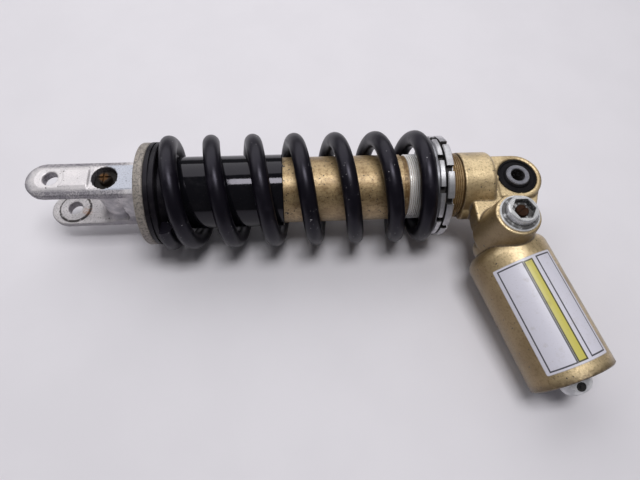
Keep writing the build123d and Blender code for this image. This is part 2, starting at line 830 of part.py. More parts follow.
def rebound_post():
    """Post across the slot that houses the rebound screw, with round roots on both ears."""
    half = clevis_slot_half_width
    foot = rebound_post_radius + rebound_post_round
    root = half - rebound_post_round
    edges = [
        Line((0, -half), (foot, -half)),
        CenterArc((foot, -root), rebound_post_round, 270, -90),
        Line((rebound_post_radius, -root), (rebound_post_radius, root)),
        CenterArc((foot, root), rebound_post_round, 180, -90),
        Line((foot, half), (0, half)),
        Line((0, half), (0, -half)),
    ]
    profile = Plane.XZ * make_face([edge for line in edges for edge in line.edges()])
    post = REBOUND * revolve(profile, Axis.Z)
    return post & clevis_outline(half)


def clevis():
    """Cast foot: two ears, rebound adjuster housing and spring flange."""
    body = clevis_blank() + clevis_hub()
    slot_length = clevis_slot_reach + clevis_tip + cut_margin
    slot = Pos(slot_root - slot_length / 2, 0, 0) * Box(
        slot_length, 4 * clevis_half_width, 2 * clevis_slot_half_width
    )
    slot = fillet(slot.edges().filter_by(Axis.Y).group_by(Axis.X)[-1], clevis_slot_root_round)
    body -= slot - rebound_post()
    hole = Plane(origin=(clevis_hole, 0, 0))
    land_face = clevis_slot_half_width - clevis_land_height
    for side in (-1, 1):
        land = Pos(0, 0, side * (land_face + clevis_land_height / 2 + join_overlap)) * Cylinder(
            clevis_land_radius, clevis_land_height + 2 * join_overlap
        )
        body += hole * land
        spotface = Cylinder(clevis_spotface_radius, 2 * clevis_spotface_depth)
        body -= hole * Pos(0, 0, side * clevis_half_depth) * spotface
        for depth, outward in ((clevis_half_depth - clevis_spotface_depth, side), (land_face, -side)):
            mouth = Cone(mount_bore_radius, mount_bore_radius + bolt_bore_chamfer, bolt_bore_chamfer)
            flip = Rotation(0, 0, 0) if outward > 0 else Rotation(180, 0, 0)
            body -= hole * Pos(0, 0, side * depth - outward * bolt_bore_chamfer / 2) * flip * mouth
    body -= hole * Cylinder(mount_bore_radius, 3 * clevis_half_depth)
    flat_start = clevis_hole + clevis_flat_start
    flat_length = flange_back - flat_start
    flat = Pos(flat_start + flat_length / 2, 0, clevis_half_depth)
    body -= flat * Box(flat_length, 4 * clevis_half_width, 2 * clevis_flat_depth)
    flat_face = clevis_half_depth - clevis_flat_depth
    body -= disc(REBOUND, rebound_pocket_radius, flat_face - rebound_pocket_depth, clevis_half_depth)
    screw_bore = rebound_screw_radius + running_gap
    body -= disc(REBOUND, screw_bore, rebound_screw_foot - cut_margin, clevis_half_depth)
    body -= disc(SHOCK, rod_radius + snug_gap, rod_foot, flange_top + cut_margin)
    body -= disc(SHOCK, needle_bore_radius, rebound_station, rod_foot + cut_margin)
    return body


# ---------------------------------------------------------------- rebound adjuster
bush_top = clevis_half_depth - clevis_flat_depth - rebound_pocket_depth + rebound_bush_thickness
rebound_head_bottom = bush_top + running_gap


def rebound_bush():
    """Detent bush at the bottom of the adjuster's pocket."""
    bottom = bush_top - rebound_bush_thickness
    bore = rebound_screw_radius + running_gap
    bush = ring(REBOUND, rebound_pocket_radius - seat_gap, bore, bottom, bush_top)
    return chamfer(bush.edges().group_by(Axis.Z)[-1].sort_by(SortBy.RADIUS)[-1:], rebound_bush_chamfer)


def cross_slotted(frame, radius, top):
    """Cutter for a screwdriver cross in a round head."""
    blade = Box(2 * radius + cut_margin, screw_slot_width, 2 * screw_slot_depth)
    return frame * Pos(0, 0, top) * (blade + Rotation(0, 0, 90) * blade)


def rebound_screw():
    """Screw that pushes the rebound needle."""
    head_top = rebound_head_bottom + rebound_screw_head_height
    screw = disc(REBOUND, rebound_screw_head_radius, rebound_head_bottom, head_top)
    screw = chamfer(screw.edges().group_by(Axis.Z)[-1], rebound_screw_chamfer)
    screw += disc(REBOUND, rebound_screw_radius, rebound_screw_foot, rebound_head_bottom)
    return screw - cross_slotted(REBOUND, rebound_screw_head_radius, head_top)


def rebound_needle():
    """Push rod and needle inside the damper rod."""
    taper_start = needle_tip - rebound_needle_taper
    profile = [
        (needle_foot, 0),
        (needle_foot, rebound_needle_radius),
        (taper_start, rebound_needle_radius),
        (needle_tip, rebound_needle_tip_radius),
        (needle_tip, 0),
    ]
    return turned(SHOCK, profile)


# ---------------------------------------------------------------- rod and piston
def damper_rod():
    """Hollow chromed rod with a stub for the piston."""
    profile = [
        (rod_foot, needle_bore_radius),
        (rod_foot, rod_radius),
        (rod_shoulder, rod_radius),
        (rod_shoulder, rod_stub_radius),
        (rod_end - rod_end_chamfer, rod_stub_radius),
        (rod_end, rod_stub_radius - rod_end_chamfer),
        (rod_end, bleed_orifice_radius),
        (needle_bore_end, bleed_orifice_radius),
        (needle_bore_end, needle_bore_radius),
    ]
    return turned(SHOCK, profile)


def bump_washer():
    """Steel washer under the bump stop."""
    return ring(SHOCK, bump_washer_radius, rod_radius + running_gap, flange_top, bump_washer_top)


def bump_stop():
    """Rubber bump stop with a waist."""
    middle = (bump_washer_top + bump_stop_top) / 2
    profile = [
        (bump_washer_top, rod_radius + 2 * running_gap),
        (bump_washer_top, bump_stop_radius),
        (middle - bump_stop_waist_reach, bump_stop_radius),
        (middle, bump_stop_radius - bump_stop_waist),
        (middle + bump_stop_waist_reach, bump_stop_radius),
        (bump_stop_top - bump_stop_chamfer, bump_stop_radius),
        (bump_stop_top, bump_stop_radius - bump_stop_chamfer),
        (bump_stop_top, rod_radius + 2 * running_gap),
    ]
    return turned(SHOCK, profile)


def dust_cap():
    """Steel cap in the mouth of the damper tube."""
    return ring(SHOCK, tube_bore_radius - seat_gap, scraper_radius + seat_gap, tube_end, dust_cap_top)


def rod_scraper():
    """Wiper lip for the rod."""
    profile = [
        (tube_end, rod_radius + 2 * running_gap),
        (tube_end, scraper_radius),
        (dust_cap_top, scraper_radius),
        (dust_cap_top, scraper_radius - scraper_lip),
        (tube_end + scraper_lip_height, rod_radius + 2 * running_gap),
    ]
    return turned(SHOCK, profile)


def seal_head_clip():
    """Snap ring that holds the seal head in."""
    outer = tube_bore_radius + clip_depth - seat_gap
    start = clip_start + running_gap
    return open_ring(SHOCK, outer, outer - clip_ring_width, start, clip_start + clip_width, clip_opening)


def seal_head():
    """Seal head with pockets for the oil seal and the bush, and a groove for its O-ring."""
    seal_pocket = seal_head_start + oil_seal_length + 2 * running_gap
    bush_start = rod_bush_start
    bush_end = bush_start + rod_bush_length + 2 * running_gap
    groove_start = (seal_head_start + seal_head_end - o_ring_width) / 2
    groove_end = groove_start + o_ring_width
    outer = tube_bore_radius - seat_gap
    profile = [
        (seal_head_start, oil_seal_radius + seat_gap),
        (seal_head_start, outer),
        (groove_start - o_ring_side_gap, outer),
        (groove_start - o_ring_side_gap, outer - o_ring_depth),
        (groove_end + o_ring_side_gap, outer - o_ring_depth),
        (groove_end + o_ring_side_gap, outer),
        (seal_head_end, outer),
        (seal_head_end, rod_radius + 4 * running_gap),
        (bush_end, rod_radius + 4 * running_gap),
        (bush_end, rod_bush_radius + seat_gap),
        (bush_start, rod_bush_radius + seat_gap),
        (bush_start, rod_radius + 4 * running_gap),
        (seal_pocket, rod_radius + 4 * running_gap),
        (seal_pocket, oil_seal_radius + seat_gap),
    ]
    return turned(SHOCK, profile)


def seal_head_o_ring():
    """O-ring round the seal head."""
    start = (seal_head_start + seal_head_end - o_ring_width) / 2
    outer = tube_bore_radius - seat_gap / 2
    inner = tube_bore_radius - seat_gap - o_ring_depth + snug_gap
    return ring(SHOCK, outer, inner, start, start + o_ring_width)


def oil_seal():
    """Lip seal for the rod."""
    end = seal_head_start + running_gap + oil_seal_length
    profile = [
        (seal_head_start + running_gap, rod_radius + oil_seal_lip),
        (seal_head_start + running_gap, oil_seal_radius),
        (end, oil_seal_radius),
        (end, rod_radius + running_gap),
        (end - oil_seal_lip, rod_radius + running_gap),
    ]
    return turned(SHOCK, profile)


def rod_bush():
    """Plain bearing for the rod."""
    start = rod_bush_start + running_gap
    return ring(SHOCK, rod_bush_radius, rod_radius + running_gap, start, start + rod_bush_length)


def top_out_bumper():
    """Rubber ring that stops the rod at full extension."""
    return ring(SHOCK, top_out_radius, rod_radius + 2 * running_gap, top_out_start, rod_shoulder)


def backing_washers():
    """Washers on both sides of the piston stack."""
    radius = backing_washer_radius
    bore = rod_stub_radius + snug_gap
    lower = ring(SHOCK, radius, bore, rod_shoulder, rebound_shims_start)
    upper = ring(SHOCK, radius, bore, compression_shims_end, piston_nut_start)
    return Compound(children=[lower, upper])


def shim_stack(start, radii):
    """Thin valve discs laid one on another."""
    shims = []
    for index, radius in enumerate(radii):
        bottom = start + index * shim_thickness
        shims.append(ring(SHOCK, radius, rod_stub_radius + snug_gap, bottom, bottom + shim_thickness))
    stack = shims[0]
    for shim in shims[1:]:
        stack += shim
    return stack


def rebound_shims():
    """Stack that meters oil as the shock extends."""
    return shim_stack(rebound_shims_start, rebound_shim_radii)


def compression_shims():
    """Stack that meters oil as the shock is compressed."""
    return shim_stack(piston_end, compression_shim_radii)


def piston():
    """Piston with ports and a groove for its band."""
    band_start = (piston_start + piston_end - piston_band_width) / 2
    band_end = band_start + piston_band_width
    profile = [
        (piston_start, rod_stub_radius + snug_gap),
        (piston_start, piston_radius),
        (band_start - running_gap, piston_radius),
        (band_start - running_gap, piston_radius - piston_band_wall),
        (band_end + running_gap, piston_radius - piston_band_wall),
        (band_end + running_gap, piston_radius),
        (piston_end, piston_radius),
        (piston_end, rod_stub_radius + snug_gap),
    ]
    body = turned(SHOCK, profile)
    middle = (piston_start + piston_end) / 2
    port = Pos(piston_port_circle, 0, middle) * Cylinder(piston_port_radius, 2 * piston_length)
    for cut in around(SHOCK, piston_port_count, 0, port):
        body -= cut
    return body


def piston_band():
    """Split bearing band that runs in the tube."""
    start = (piston_start + piston_end - piston_band_width) / 2
    outer = tube_bore_radius - running_gap
    inner = piston_radius - piston_band_wall
    return open_ring(SHOCK, outer, inner, start, start + piston_band_width, piston_band_opening)


def piston_nut():
    """Nut on the rod's stub."""
    nut = hexagon(SHOCK, piston_nut_across_flats, piston_nut_start, piston_nut_end)
    bore = disc(SHOCK, rod_stub_radius + snug_gap, piston_nut_start - cut_margin, piston_nut_end + cut_margin)
    return nut - bore


# ---------------------------------------------------------------- compression adjuster
def compression_housing():
    """Screwed-in housing with a stepped flange."""
    flange_top_z = boss_top + housing_flange_thickness
    groove_start = housing_groove_start
    groove_end = groove_start + o_ring_width + 2 * o_ring_side_gap
    shank_bore = adjuster_shank_radius + running_gap
    profile = [
        (housing_foot, housing_valve_bore_radius),
        (housing_foot, housing_body_radius),
        (groove_start, housing_body_radius),
        (groove_start, housing_body_radius - o_ring_depth),
        (groove_end, housing_body_radius - o_ring_depth),
        (groove_end, housing_body_radius),
        (boss_top, housing_body_radius),
        (boss_top, housing_flange_radius),
        (flange_top_z - housing_flange_step, housing_flange_radius),
        (flange_top_z - housing_flange_step, housing_flange_radius - housing_flange_shoulder),
        (flange_top_z, housing_flange_radius - housing_flange_shoulder - housing_flange_bevel),
        (flange_top_z, shank_bore),
        (adjuster_shank_foot - face_gap, shank_bore),
        (adjuster_shank_foot - face_gap, housing_valve_bore_radius),
    ]
    return turned(BOSS, profile)


def compression_o_ring():
    """O-ring round the housing."""
    start = housing_groove_start + o_ring_side_gap
    inner = housing_body_radius - o_ring_depth + snug_gap
    return ring(BOSS, housing_body_radius, inner, start, start + o_ring_width)


def compression_adjuster():
    """High-speed adjuster with a hexagon socket."""
    knob = disc(BOSS, adjuster_radius, adjuster_foot, adjuster_top)
    knob = chamfer(knob.edges().group_by(Axis.Z)[-1], adjuster_top_chamfer)
    knob += disc(BOSS, adjuster_shank_radius, adjuster_shank_foot, adjuster_foot)
    knob -= hexagon(BOSS, hex_across_flats, socket_floor, adjuster_top + cut_margin)
    shank = bleed_screw_shank_radius + running_gap
    return knob - disc(BOSS, shank, adjuster_shank_foot - cut_margin, adjuster_top)


def compression_screw():
    """Low-speed bleed screw in the bottom of the socket."""
    bottom = socket_floor + running_gap
    top = bottom + bleed_screw_head_height
    screw = disc(BOSS, bleed_screw_head_radius, bottom, top)
    screw = chamfer(screw.edges().group_by(Axis.Z)[-1], bleed_screw_chamfer)
    screw += disc(BOSS, bleed_screw_shank_radius, bleed_screw_foot, bottom)
    blade = Box(2 * bleed_screw_head_radius + cut_margin, screw_slot_width, 2 * screw_slot_depth)
    return screw - BOSS * Pos(0, 0, top) * Rotation(0, 0, bleed_screw_clocking) * blade


def compression_valve():
    """Ported valve piston under the housing."""
    body = disc(BOSS, valve_piston_radius, valve_piston_bottom, valve_piston_top)
    port = Pos(valve_shim_radius - 2 * valve_port_radius, 0, valve_piston_bottom) * Cylinder(
        valve_port_radius, 3 * valve_piston_thickness
    )
    for cut in around(BOSS, valve_port_count, 0, port):
        body -= cut
    return body


def compression_valve_shims():
    """Shims under the valve piston."""
    shims = disc(BOSS, valve_shim_radius, valve_shims_bottom, valve_piston_bottom)
    step = disc(BOSS, valve_shim_radius / 2, valve_shims_bottom - valve_shim_thickness, valve_shims_bottom)
    return shims + step


# ---------------------------------------------------------------- reservoir pieces
def reservoir_cap():
    """Cap with a domed boss that carries the gas valve, and a groove for its O-ring."""
    outer = reservoir_bore_radius - seat_gap
    groove_start = cap_groove_start
    groove_end = groove_start + o_ring_width + 2 * o_ring_side_gap
    profile = [
        (cap_inner_face, 0),
        (cap_inner_face, outer),
        (groove_start, outer),
        (groove_start, outer - o_ring_depth),
        (groove_end, outer - o_ring_depth),
        (groove_end, outer),
        (cap_outer_face, outer),
        (cap_outer_face, 0),
    ]
    cap = turned(RESERVOIR, profile)
    dome = Pos(0, 0, cap_outer_face) * Cylinder(dome_radius, dome_tip - cap_outer_face, align=FROM_START)
    dome = fillet(dome.edges().group_by(Axis.Z)[-1], dome_round)
    cap += RESERVOIR * dome
    mouth = dome_radius + cut_margin
    cap -= disc(GAS_VALVE, gas_valve_radius + seat_gap, dome_radius - gas_valve_depth, mouth)
    cap -= disc(GAS_VALVE, gas_pin_radius + running_gap, gas_pin_hole_floor, mouth)
    return cap


GAS_VALVE = RESERVOIR * Pos(0, 0, gas_valve_station) * Rotation(0, 0, 90 + gas_valve_tilt) * Rotation(0, 90, 0)


def gas_valve_body():
    """Valve insert pressed into the dome."""
    bottom = dome_radius - gas_valve_depth
    top = dome_radius - gas_valve_recess
    insert = ring(GAS_VALVE, gas_valve_radius, gas_pin_radius + running_gap, bottom, top)
    return insert


def gas_valve_pin():
    """Sprung pin in the valve insert."""
    bottom = gas_pin_hole_floor + gas_pin_travel + face_gap
    top = dome_radius - gas_valve_recess + gas_pin_stem
    return disc(GAS_VALVE, gas_pin_radius, bottom, top)


def cap_o_ring():
    """O-ring round the cap."""
    start = cap_groove_start + o_ring_side_gap
    outer = reservoir_bore_radius - seat_gap
    return ring(RESERVOIR, outer, outer - o_ring_depth + snug_gap, start, start + o_ring_width)


def reservoir_clip():
    """Snap ring that holds the cap in."""
    outer = reservoir_bore_radius + cap_clip_depth - seat_gap
    start = cap_outer_face + 2 * running_gap
    end = start + cap_clip_width - 2 * running_gap
    return open_ring(RESERVOIR, outer, outer - cap_clip_ring_width, start, end, cap_clip_opening)


def bladder():
    """Rubber bladder between nitrogen and oil, closed at its far end and beaded at the cap."""
    radius = reservoir_bore_radius - bladder_gap
    bead_radius = reservoir_bore_radius - seat_gap
    top = cap_inner_face - running_gap
    closed = reservoir_bore_start + bladder_end_gap
    profile = [
        (closed, 0),
        (closed, radius - bladder_end_bevel),
        (closed + bladder_end_bevel, radius),
        (top - bladder_bead, radius),
        (top - bladder_bead, bead_radius),
        (top, bead_radius),
        (top, radius - bladder_wall),
        (closed + bladder_end_bevel, radius - bladder_wall),
        (closed + bladder_wall, radius - bladder_end_bevel - bladder_wall),
        (closed + bladder_wall, 0),
    ]
    return turned(RESERVOIR, profile)


# ---------------------------------------------------------------- write every sub-part
SUB_PARTS = [
    head_casting,
    eye_collar,
    needle_rollers,
    bearing_shell,
    eye_seals,
    damper_tube,
    tube_seal,
    adjuster_nut,
    lock_nut,
    spring_washer,
    coil_spring,
    lower_seat,
    dust_tube,
    clevis,
    rebound_bush,
    rebound_screw,
    rebound_needle,
    damper_rod,
    bump_washer,
    bump_stop,
    dust_cap,
    rod_scraper,
    seal_head_clip,
    seal_head,
    seal_head_o_ring,
    oil_seal,
    rod_bush,
    top_out_bumper,
    backing_washers,
    rebound_shims,
    compression_shims,
    piston,
    piston_band,
    piston_nut,
    compression_housing,
    compression_o_ring,
    compression_adjuster,
    compression_screw,
    compression_valve,
    compression_valve_shims,
    reservoir_cap,
    gas_valve_body,
    gas_valve_pin,
    cap_o_ring,
    reservoir_clip,
    bladder,
]

os.makedirs("parts", exist_ok=True)
for build in SUB_PARTS:
    export_step(build(), f"parts/{build.__name__}.step")
    print("wrote", build.__name__)
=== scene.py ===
"""Dresses a motorcycle rear shock absorber: its castings, spring, label and every finish.

Metres. The frame's origin is the centre of the upper eye. +X runs along the shock from the lower clevis
to the eye, and +Z is the axis of both bolts. Sizes in millimetres say so.
"""

import json
import logging
import math
from collections.abc import Iterator
from contextlib import contextmanager
from dataclasses import dataclass, field
from enum import Enum
from functools import reduce
from typing import ClassVar

import bmesh
import bpy
import numpy as np
from mathutils import Matrix, Vector
from mathutils.bvhtree import BVHTree

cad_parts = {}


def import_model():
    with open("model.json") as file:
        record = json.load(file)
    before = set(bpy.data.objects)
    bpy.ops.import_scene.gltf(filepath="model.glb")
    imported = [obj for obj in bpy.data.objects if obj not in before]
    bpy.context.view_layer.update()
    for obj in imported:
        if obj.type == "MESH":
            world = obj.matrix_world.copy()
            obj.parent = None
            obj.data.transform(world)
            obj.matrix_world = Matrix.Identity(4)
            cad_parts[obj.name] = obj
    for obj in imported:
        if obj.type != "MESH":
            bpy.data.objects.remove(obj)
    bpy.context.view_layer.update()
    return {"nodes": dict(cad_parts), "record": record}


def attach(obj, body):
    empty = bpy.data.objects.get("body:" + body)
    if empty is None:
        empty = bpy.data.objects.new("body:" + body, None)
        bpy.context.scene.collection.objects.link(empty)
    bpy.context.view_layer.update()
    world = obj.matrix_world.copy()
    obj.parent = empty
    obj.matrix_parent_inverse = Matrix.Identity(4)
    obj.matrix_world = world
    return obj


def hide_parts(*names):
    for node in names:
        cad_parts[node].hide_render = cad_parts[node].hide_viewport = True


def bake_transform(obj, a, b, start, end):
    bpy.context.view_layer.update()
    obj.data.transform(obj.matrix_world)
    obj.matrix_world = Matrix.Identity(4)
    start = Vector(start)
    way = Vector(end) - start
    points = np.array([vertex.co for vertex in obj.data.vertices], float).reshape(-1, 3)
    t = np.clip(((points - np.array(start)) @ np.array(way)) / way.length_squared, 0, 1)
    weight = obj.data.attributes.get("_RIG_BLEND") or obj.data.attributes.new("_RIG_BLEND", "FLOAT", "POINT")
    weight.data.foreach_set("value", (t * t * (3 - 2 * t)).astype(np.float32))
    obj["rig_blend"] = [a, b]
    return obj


LOG = logging.getLogger("rear_shock")
MM = 0.001
WELD = 1e-6

Span = tuple[float, float]
Triple = tuple[float, float, float]
Colour = tuple[float, float, float, float]
Paint = Colour | bpy.types.NodeSocket


def tone(red: int, green: int, blue: int) -> Colour:
    """Linear colour of a display colour from 0 to 255.

    Args:
        red: Display red.
        green: Display green.
        blue: Display blue.

    Returns:
        The linear colour with full alpha.
    """

    def linear(part: int) -> float:
        """Linear share of one display channel."""
        share = part / 255
        return share / 12.92 if share <= 0.04045 else ((share + 0.055) / 1.055) ** 2.4

    return (linear(red), linear(green), linear(blue), 1.0)


class Lathe(Enum):
    """Axes that pieces are turned about: a point in millimetres, and a direction."""

    SHOCK = ((0.0, 0.0, 0.0), (1.0, 0.0, 0.0))
    EYE = ((0.0, 0.0, 0.0), (0.0, 0.0, 1.0))
    ADJUSTER = ((-20.093, -44.579, 0.0), (0.0, 0.0, 1.0))
    RESERVOIR = ((-31.484, -10.534, 0.0), (0.315896, -0.944118, -0.094108))
    REBOUND = ((-296.0, 0.0, 0.0), (0.0, 0.0, 1.0))

    @property
    def point(self) -> Vector:
        """A point on the axis, in metres."""
        return Vector(self.value[0]) * MM

    @property
    def along(self) -> Vector:
        """Unit vector along the axis."""
        return Vector(self.value[1]).normalized()


class Amount:
    """A number that changes over a surface, held as the socket that carries it."""

    def __init__(self, recipe: "Recipe", socket: bpy.types.NodeSocket) -> None:
        """Wraps a socket of a recipe's nodes."""
        self.recipe = recipe
        self.socket = socket

    def __add__(self, other: "Amount | float") -> "Amount":
        """Sum."""
        return self.recipe.maths("ADD", self, other)

    __radd__ = __add__

    def __sub__(self, other: "Amount | float") -> "Amount":
        """Difference."""
        return self.recipe.maths("SUBTRACT", self, other)

    def __rsub__(self, other: float) -> "Amount":
        """Difference from a plain number."""
        return self.recipe.maths("SUBTRACT", other, self)

    def __mul__(self, other: "Amount | float") -> "Amount":
        """Product."""
        return self.recipe.maths("MULTIPLY", self, other)

    __rmul__ = __mul__

    def __pow__(self, power: float) -> "Amount":
        """Power."""
        return self.recipe.maths("POWER", self, power)

    def __abs__(self) -> "Amount":
        """Size without sign."""
        return self.recipe.maths("ABSOLUTE", self)

    def most(self, other: "Amount | float") -> "Amount":
        """The larger of two amounts."""
        return self.recipe.maths("MAXIMUM", self, other)

    def over(self, low: float, high: float) -> "Amount":
        """Rises smoothly from 0 to 1.

        Args:
            low: Value up to which it is 0.
            high: Value from which it is 1.

        Returns:
            The share from 0 to 1.
        """
        made = self.recipe.node(
            "ShaderNodeMapRange",
            {"interpolation_type": "SMOOTHSTEP", "clamp": True},
            {"Value": self, "From Min": low, "From Max": high, "To Min": 0.0, "To Max": 1.0},
        )
        return Amount(self.recipe, made.outputs["Result"])

    def between(self, low: float, high: float, soft: float) -> "Amount":
        """1 between two bounds and 0 outside, with edges as wide as soft."""
        half = soft / 2
        return self.over(low - half, low + half) * (1 - self.over(high - half, high + half))


class Recipe:
    """One material while its nodes are put together."""

    def __init__(self, name: str) -> None:
        """Starts an empty node material that reads the piece's own coordinates.

        Args:
            name: The material's name.
        """
        self.material = bpy.data.materials.new(name)
        self.material.use_nodes = True
        self.tree = self.material.node_tree
        self.tree.nodes.clear()
        self.place = self.node("ShaderNodeTexCoord").outputs["Object"]

    def node(self, kind: str, settings: dict | None = None, sockets: dict | None = None) -> bpy.types.Node:
        """Adds a node.

        Args:
            kind: Blender's node type.
            settings: Properties of the node, set before its sockets.
            sockets: Values or links of its inputs, by name or number.

        Returns:
            The new node.
        """
        made = self.tree.nodes.new(kind)
        for key, value in (settings or {}).items():
            setattr(made, key, value)
        for key, value in (sockets or {}).items():
            if isinstance(value, Amount):
                value = value.socket
            if isinstance(value, bpy.types.NodeSocket):
                self.tree.links.new(value, made.inputs[key])
            else:
                made.inputs[key].default_value = value
        return made

    def maths(self, operation: str, first: Amount | float, second: Amount | float = 0.0) -> Amount:
        """One step of arithmetic on amounts."""
        made = self.node("ShaderNodeMath", {"operation": operation}, {0: first, 1: second})
        return Amount(self, made.outputs[0])

    def vector(self, operation: str, sockets: dict, output: str = "Vector") -> bpy.types.NodeSocket:
        """One step of vector arithmetic."""
        return self.node("ShaderNodeVectorMath", {"operation": operation}, sockets).outputs[output]

    def millimetres(self) -> tuple[Amount, Amount, Amount]:
        """Measures where a point lies in the piece's own coordinates.

        Returns:
            The three coordinates, in millimetres.
        """
        scaled = self.vector("SCALE", {0: self.place, "Scale": 1 / MM})
        parts = self.node("ShaderNodeSeparateXYZ", sockets={0: scaled})
        return tuple(Amount(self, socket) for socket in parts.outputs)

    def around(self, lathe: Lathe) -> tuple[Amount, Amount]:
        """Measures where a point lies about an axis.

        Args:
            lathe: The axis.

        Returns:
            Distance from the axis and distance along it, in millimetres.
        """
        scaled = self.vector("SCALE", {0: self.place, "Scale": 1 / MM})
        local = self.vector("SUBTRACT", {0: scaled, 1: lathe.value[0]})
        along = Amount(self, self.vector("DOT_PRODUCT", {0: local, 1: lathe.value[1]}, "Value"))
        foot = self.vector("SCALE", {0: lathe.value[1], "Scale": along})
        away = self.vector("SUBTRACT", {0: local, 1: foot})
        return Amount(self, self.vector("LENGTH", {0: away}, "Value")), along

    def noise(
        self,
        size: float,
        detail: float = 2.0,
        rough: float = 0.5,
        stretch: Triple = (1, 1, 1),
        shift: float = 0.0,
    ) -> Amount:
        """Cloudy pattern around 0.5.

        Args:
            size: Size of its clouds, in millimetres.
            detail: Finer layers on top.
            rough: Strength of the finer layers.
            stretch: How much denser it is along each axis.
            shift: Moves the pattern, so that two of one size differ.

        Returns:
            The pattern's value.
        """
        mapped = self.node(
            "ShaderNodeMapping",
            sockets={
                "Vector": self.place,
                "Location": (shift, shift / 2, -shift),
                "Scale": tuple(part / (size * MM) for part in stretch),
            },
        )
        made = self.node(
            "ShaderNodeTexNoise",
            sockets={"Vector": mapped.outputs[0], "Scale": 1.0, "Detail": detail, "Roughness": rough},
        )
        return Amount(self, made.outputs[0])

    def grooves(self, distance: Amount, pitch: float) -> Amount:
        """Random fine lines, as a turning tool leaves them.

        Args:
            distance: Distance that the lines lie across, in millimetres.
            pitch: Their usual spacing, in millimetres.

        Returns:
            The height of the surface from 0 to 1.
        """
        made = self.node(
            "ShaderNodeTexNoise",
            {"noise_dimensions": "1D"},
            {"W": distance * (1 / pitch), "Scale": 1.0, "Detail": 2.0, "Roughness": 0.6},
        )
        return Amount(self, made.outputs[0])

    def pits(self, size: float, share: float, shift: float = 0.0) -> Amount:
        """Small scattered spots.

        Args:
            size: Size of a spot, in millimetres.
            share: Rough share of the area that spots cover, from 0 to 1.
            shift: Moves the pattern, so that two of one size differ.

        Returns:
            1 inside a spot and 0 outside.
        """
        rarest, edge = 0.74, 0.03
        level = rarest - share / 2
        return self.noise(size, detail=1.0, rough=0.4, shift=shift).over(level, level + edge)

    def measured(self, name: str) -> Amount:
        """A number stored on the piece's points."""
        return Amount(self, self.node("ShaderNodeAttribute", {"attribute_name": name}).outputs["Fac"])

    def lay(self, amount: Amount | float, under: Paint, top: Paint) -> bpy.types.NodeSocket:
        """Lays one colour over another.

        Args:
            amount: How much of the upper colour covers, from 0 to 1.
            under: The lower colour.
            top: The upper colour.

        Returns:
            The mixed colour.
        """
        factor, lower, upper, mixed = 0, 6, 7, 2  # where the mix node keeps its colour sockets
        settings = {"data_type": "RGBA", "clamp_factor": True}
        return self.node("ShaderNodeMix", settings, {factor: amount, lower: under, upper: top}).outputs[mixed]

    def relief(
        self, height: Amount, depth: float, under: bpy.types.NodeSocket | None = None
    ) -> bpy.types.NodeSocket:
        """Surface relief.

        Args:
            height: Height of the surface from 0 to 1.
            depth: What a height of 1 stands for, in millimetres.
            under: Relief that this one lies on, or None.

        Returns:
            The surface's normal.
        """
        sockets: dict = {"Height": height, "Distance": depth * MM, "Strength": 1.0}
        if under is not None:
            sockets["Normal"] = under
        return self.node("ShaderNodeBump", sockets=sockets).outputs[0]

    def done(
        self,
        colour: Paint,
        rough: Amount | float,
        metal: Amount | float = 0.0,
        normal: bpy.types.NodeSocket | None = None,
        fixed: dict | None = None,
    ) -> bpy.types.Material:
        """Closes the recipe with its shader.

        Args:
            colour: Base colour.
            rough: Roughness.
            metal: How metallic it is.
            normal: Relief, or None for a plain surface.
            fixed: Other sockets that are the same all over.

        Returns:
            The finished material.
        """
        sockets = {"Base Color": colour, "Roughness": rough, "Metallic": metal, **(fixed or {})}
        if normal is not None:
            sockets["Normal"] = normal
        shader = self.node("ShaderNodeBsdfPrincipled", sockets=sockets)
        self.node("ShaderNodeOutputMaterial", sockets={"Surface": shader.outputs[0]})
        return self.material


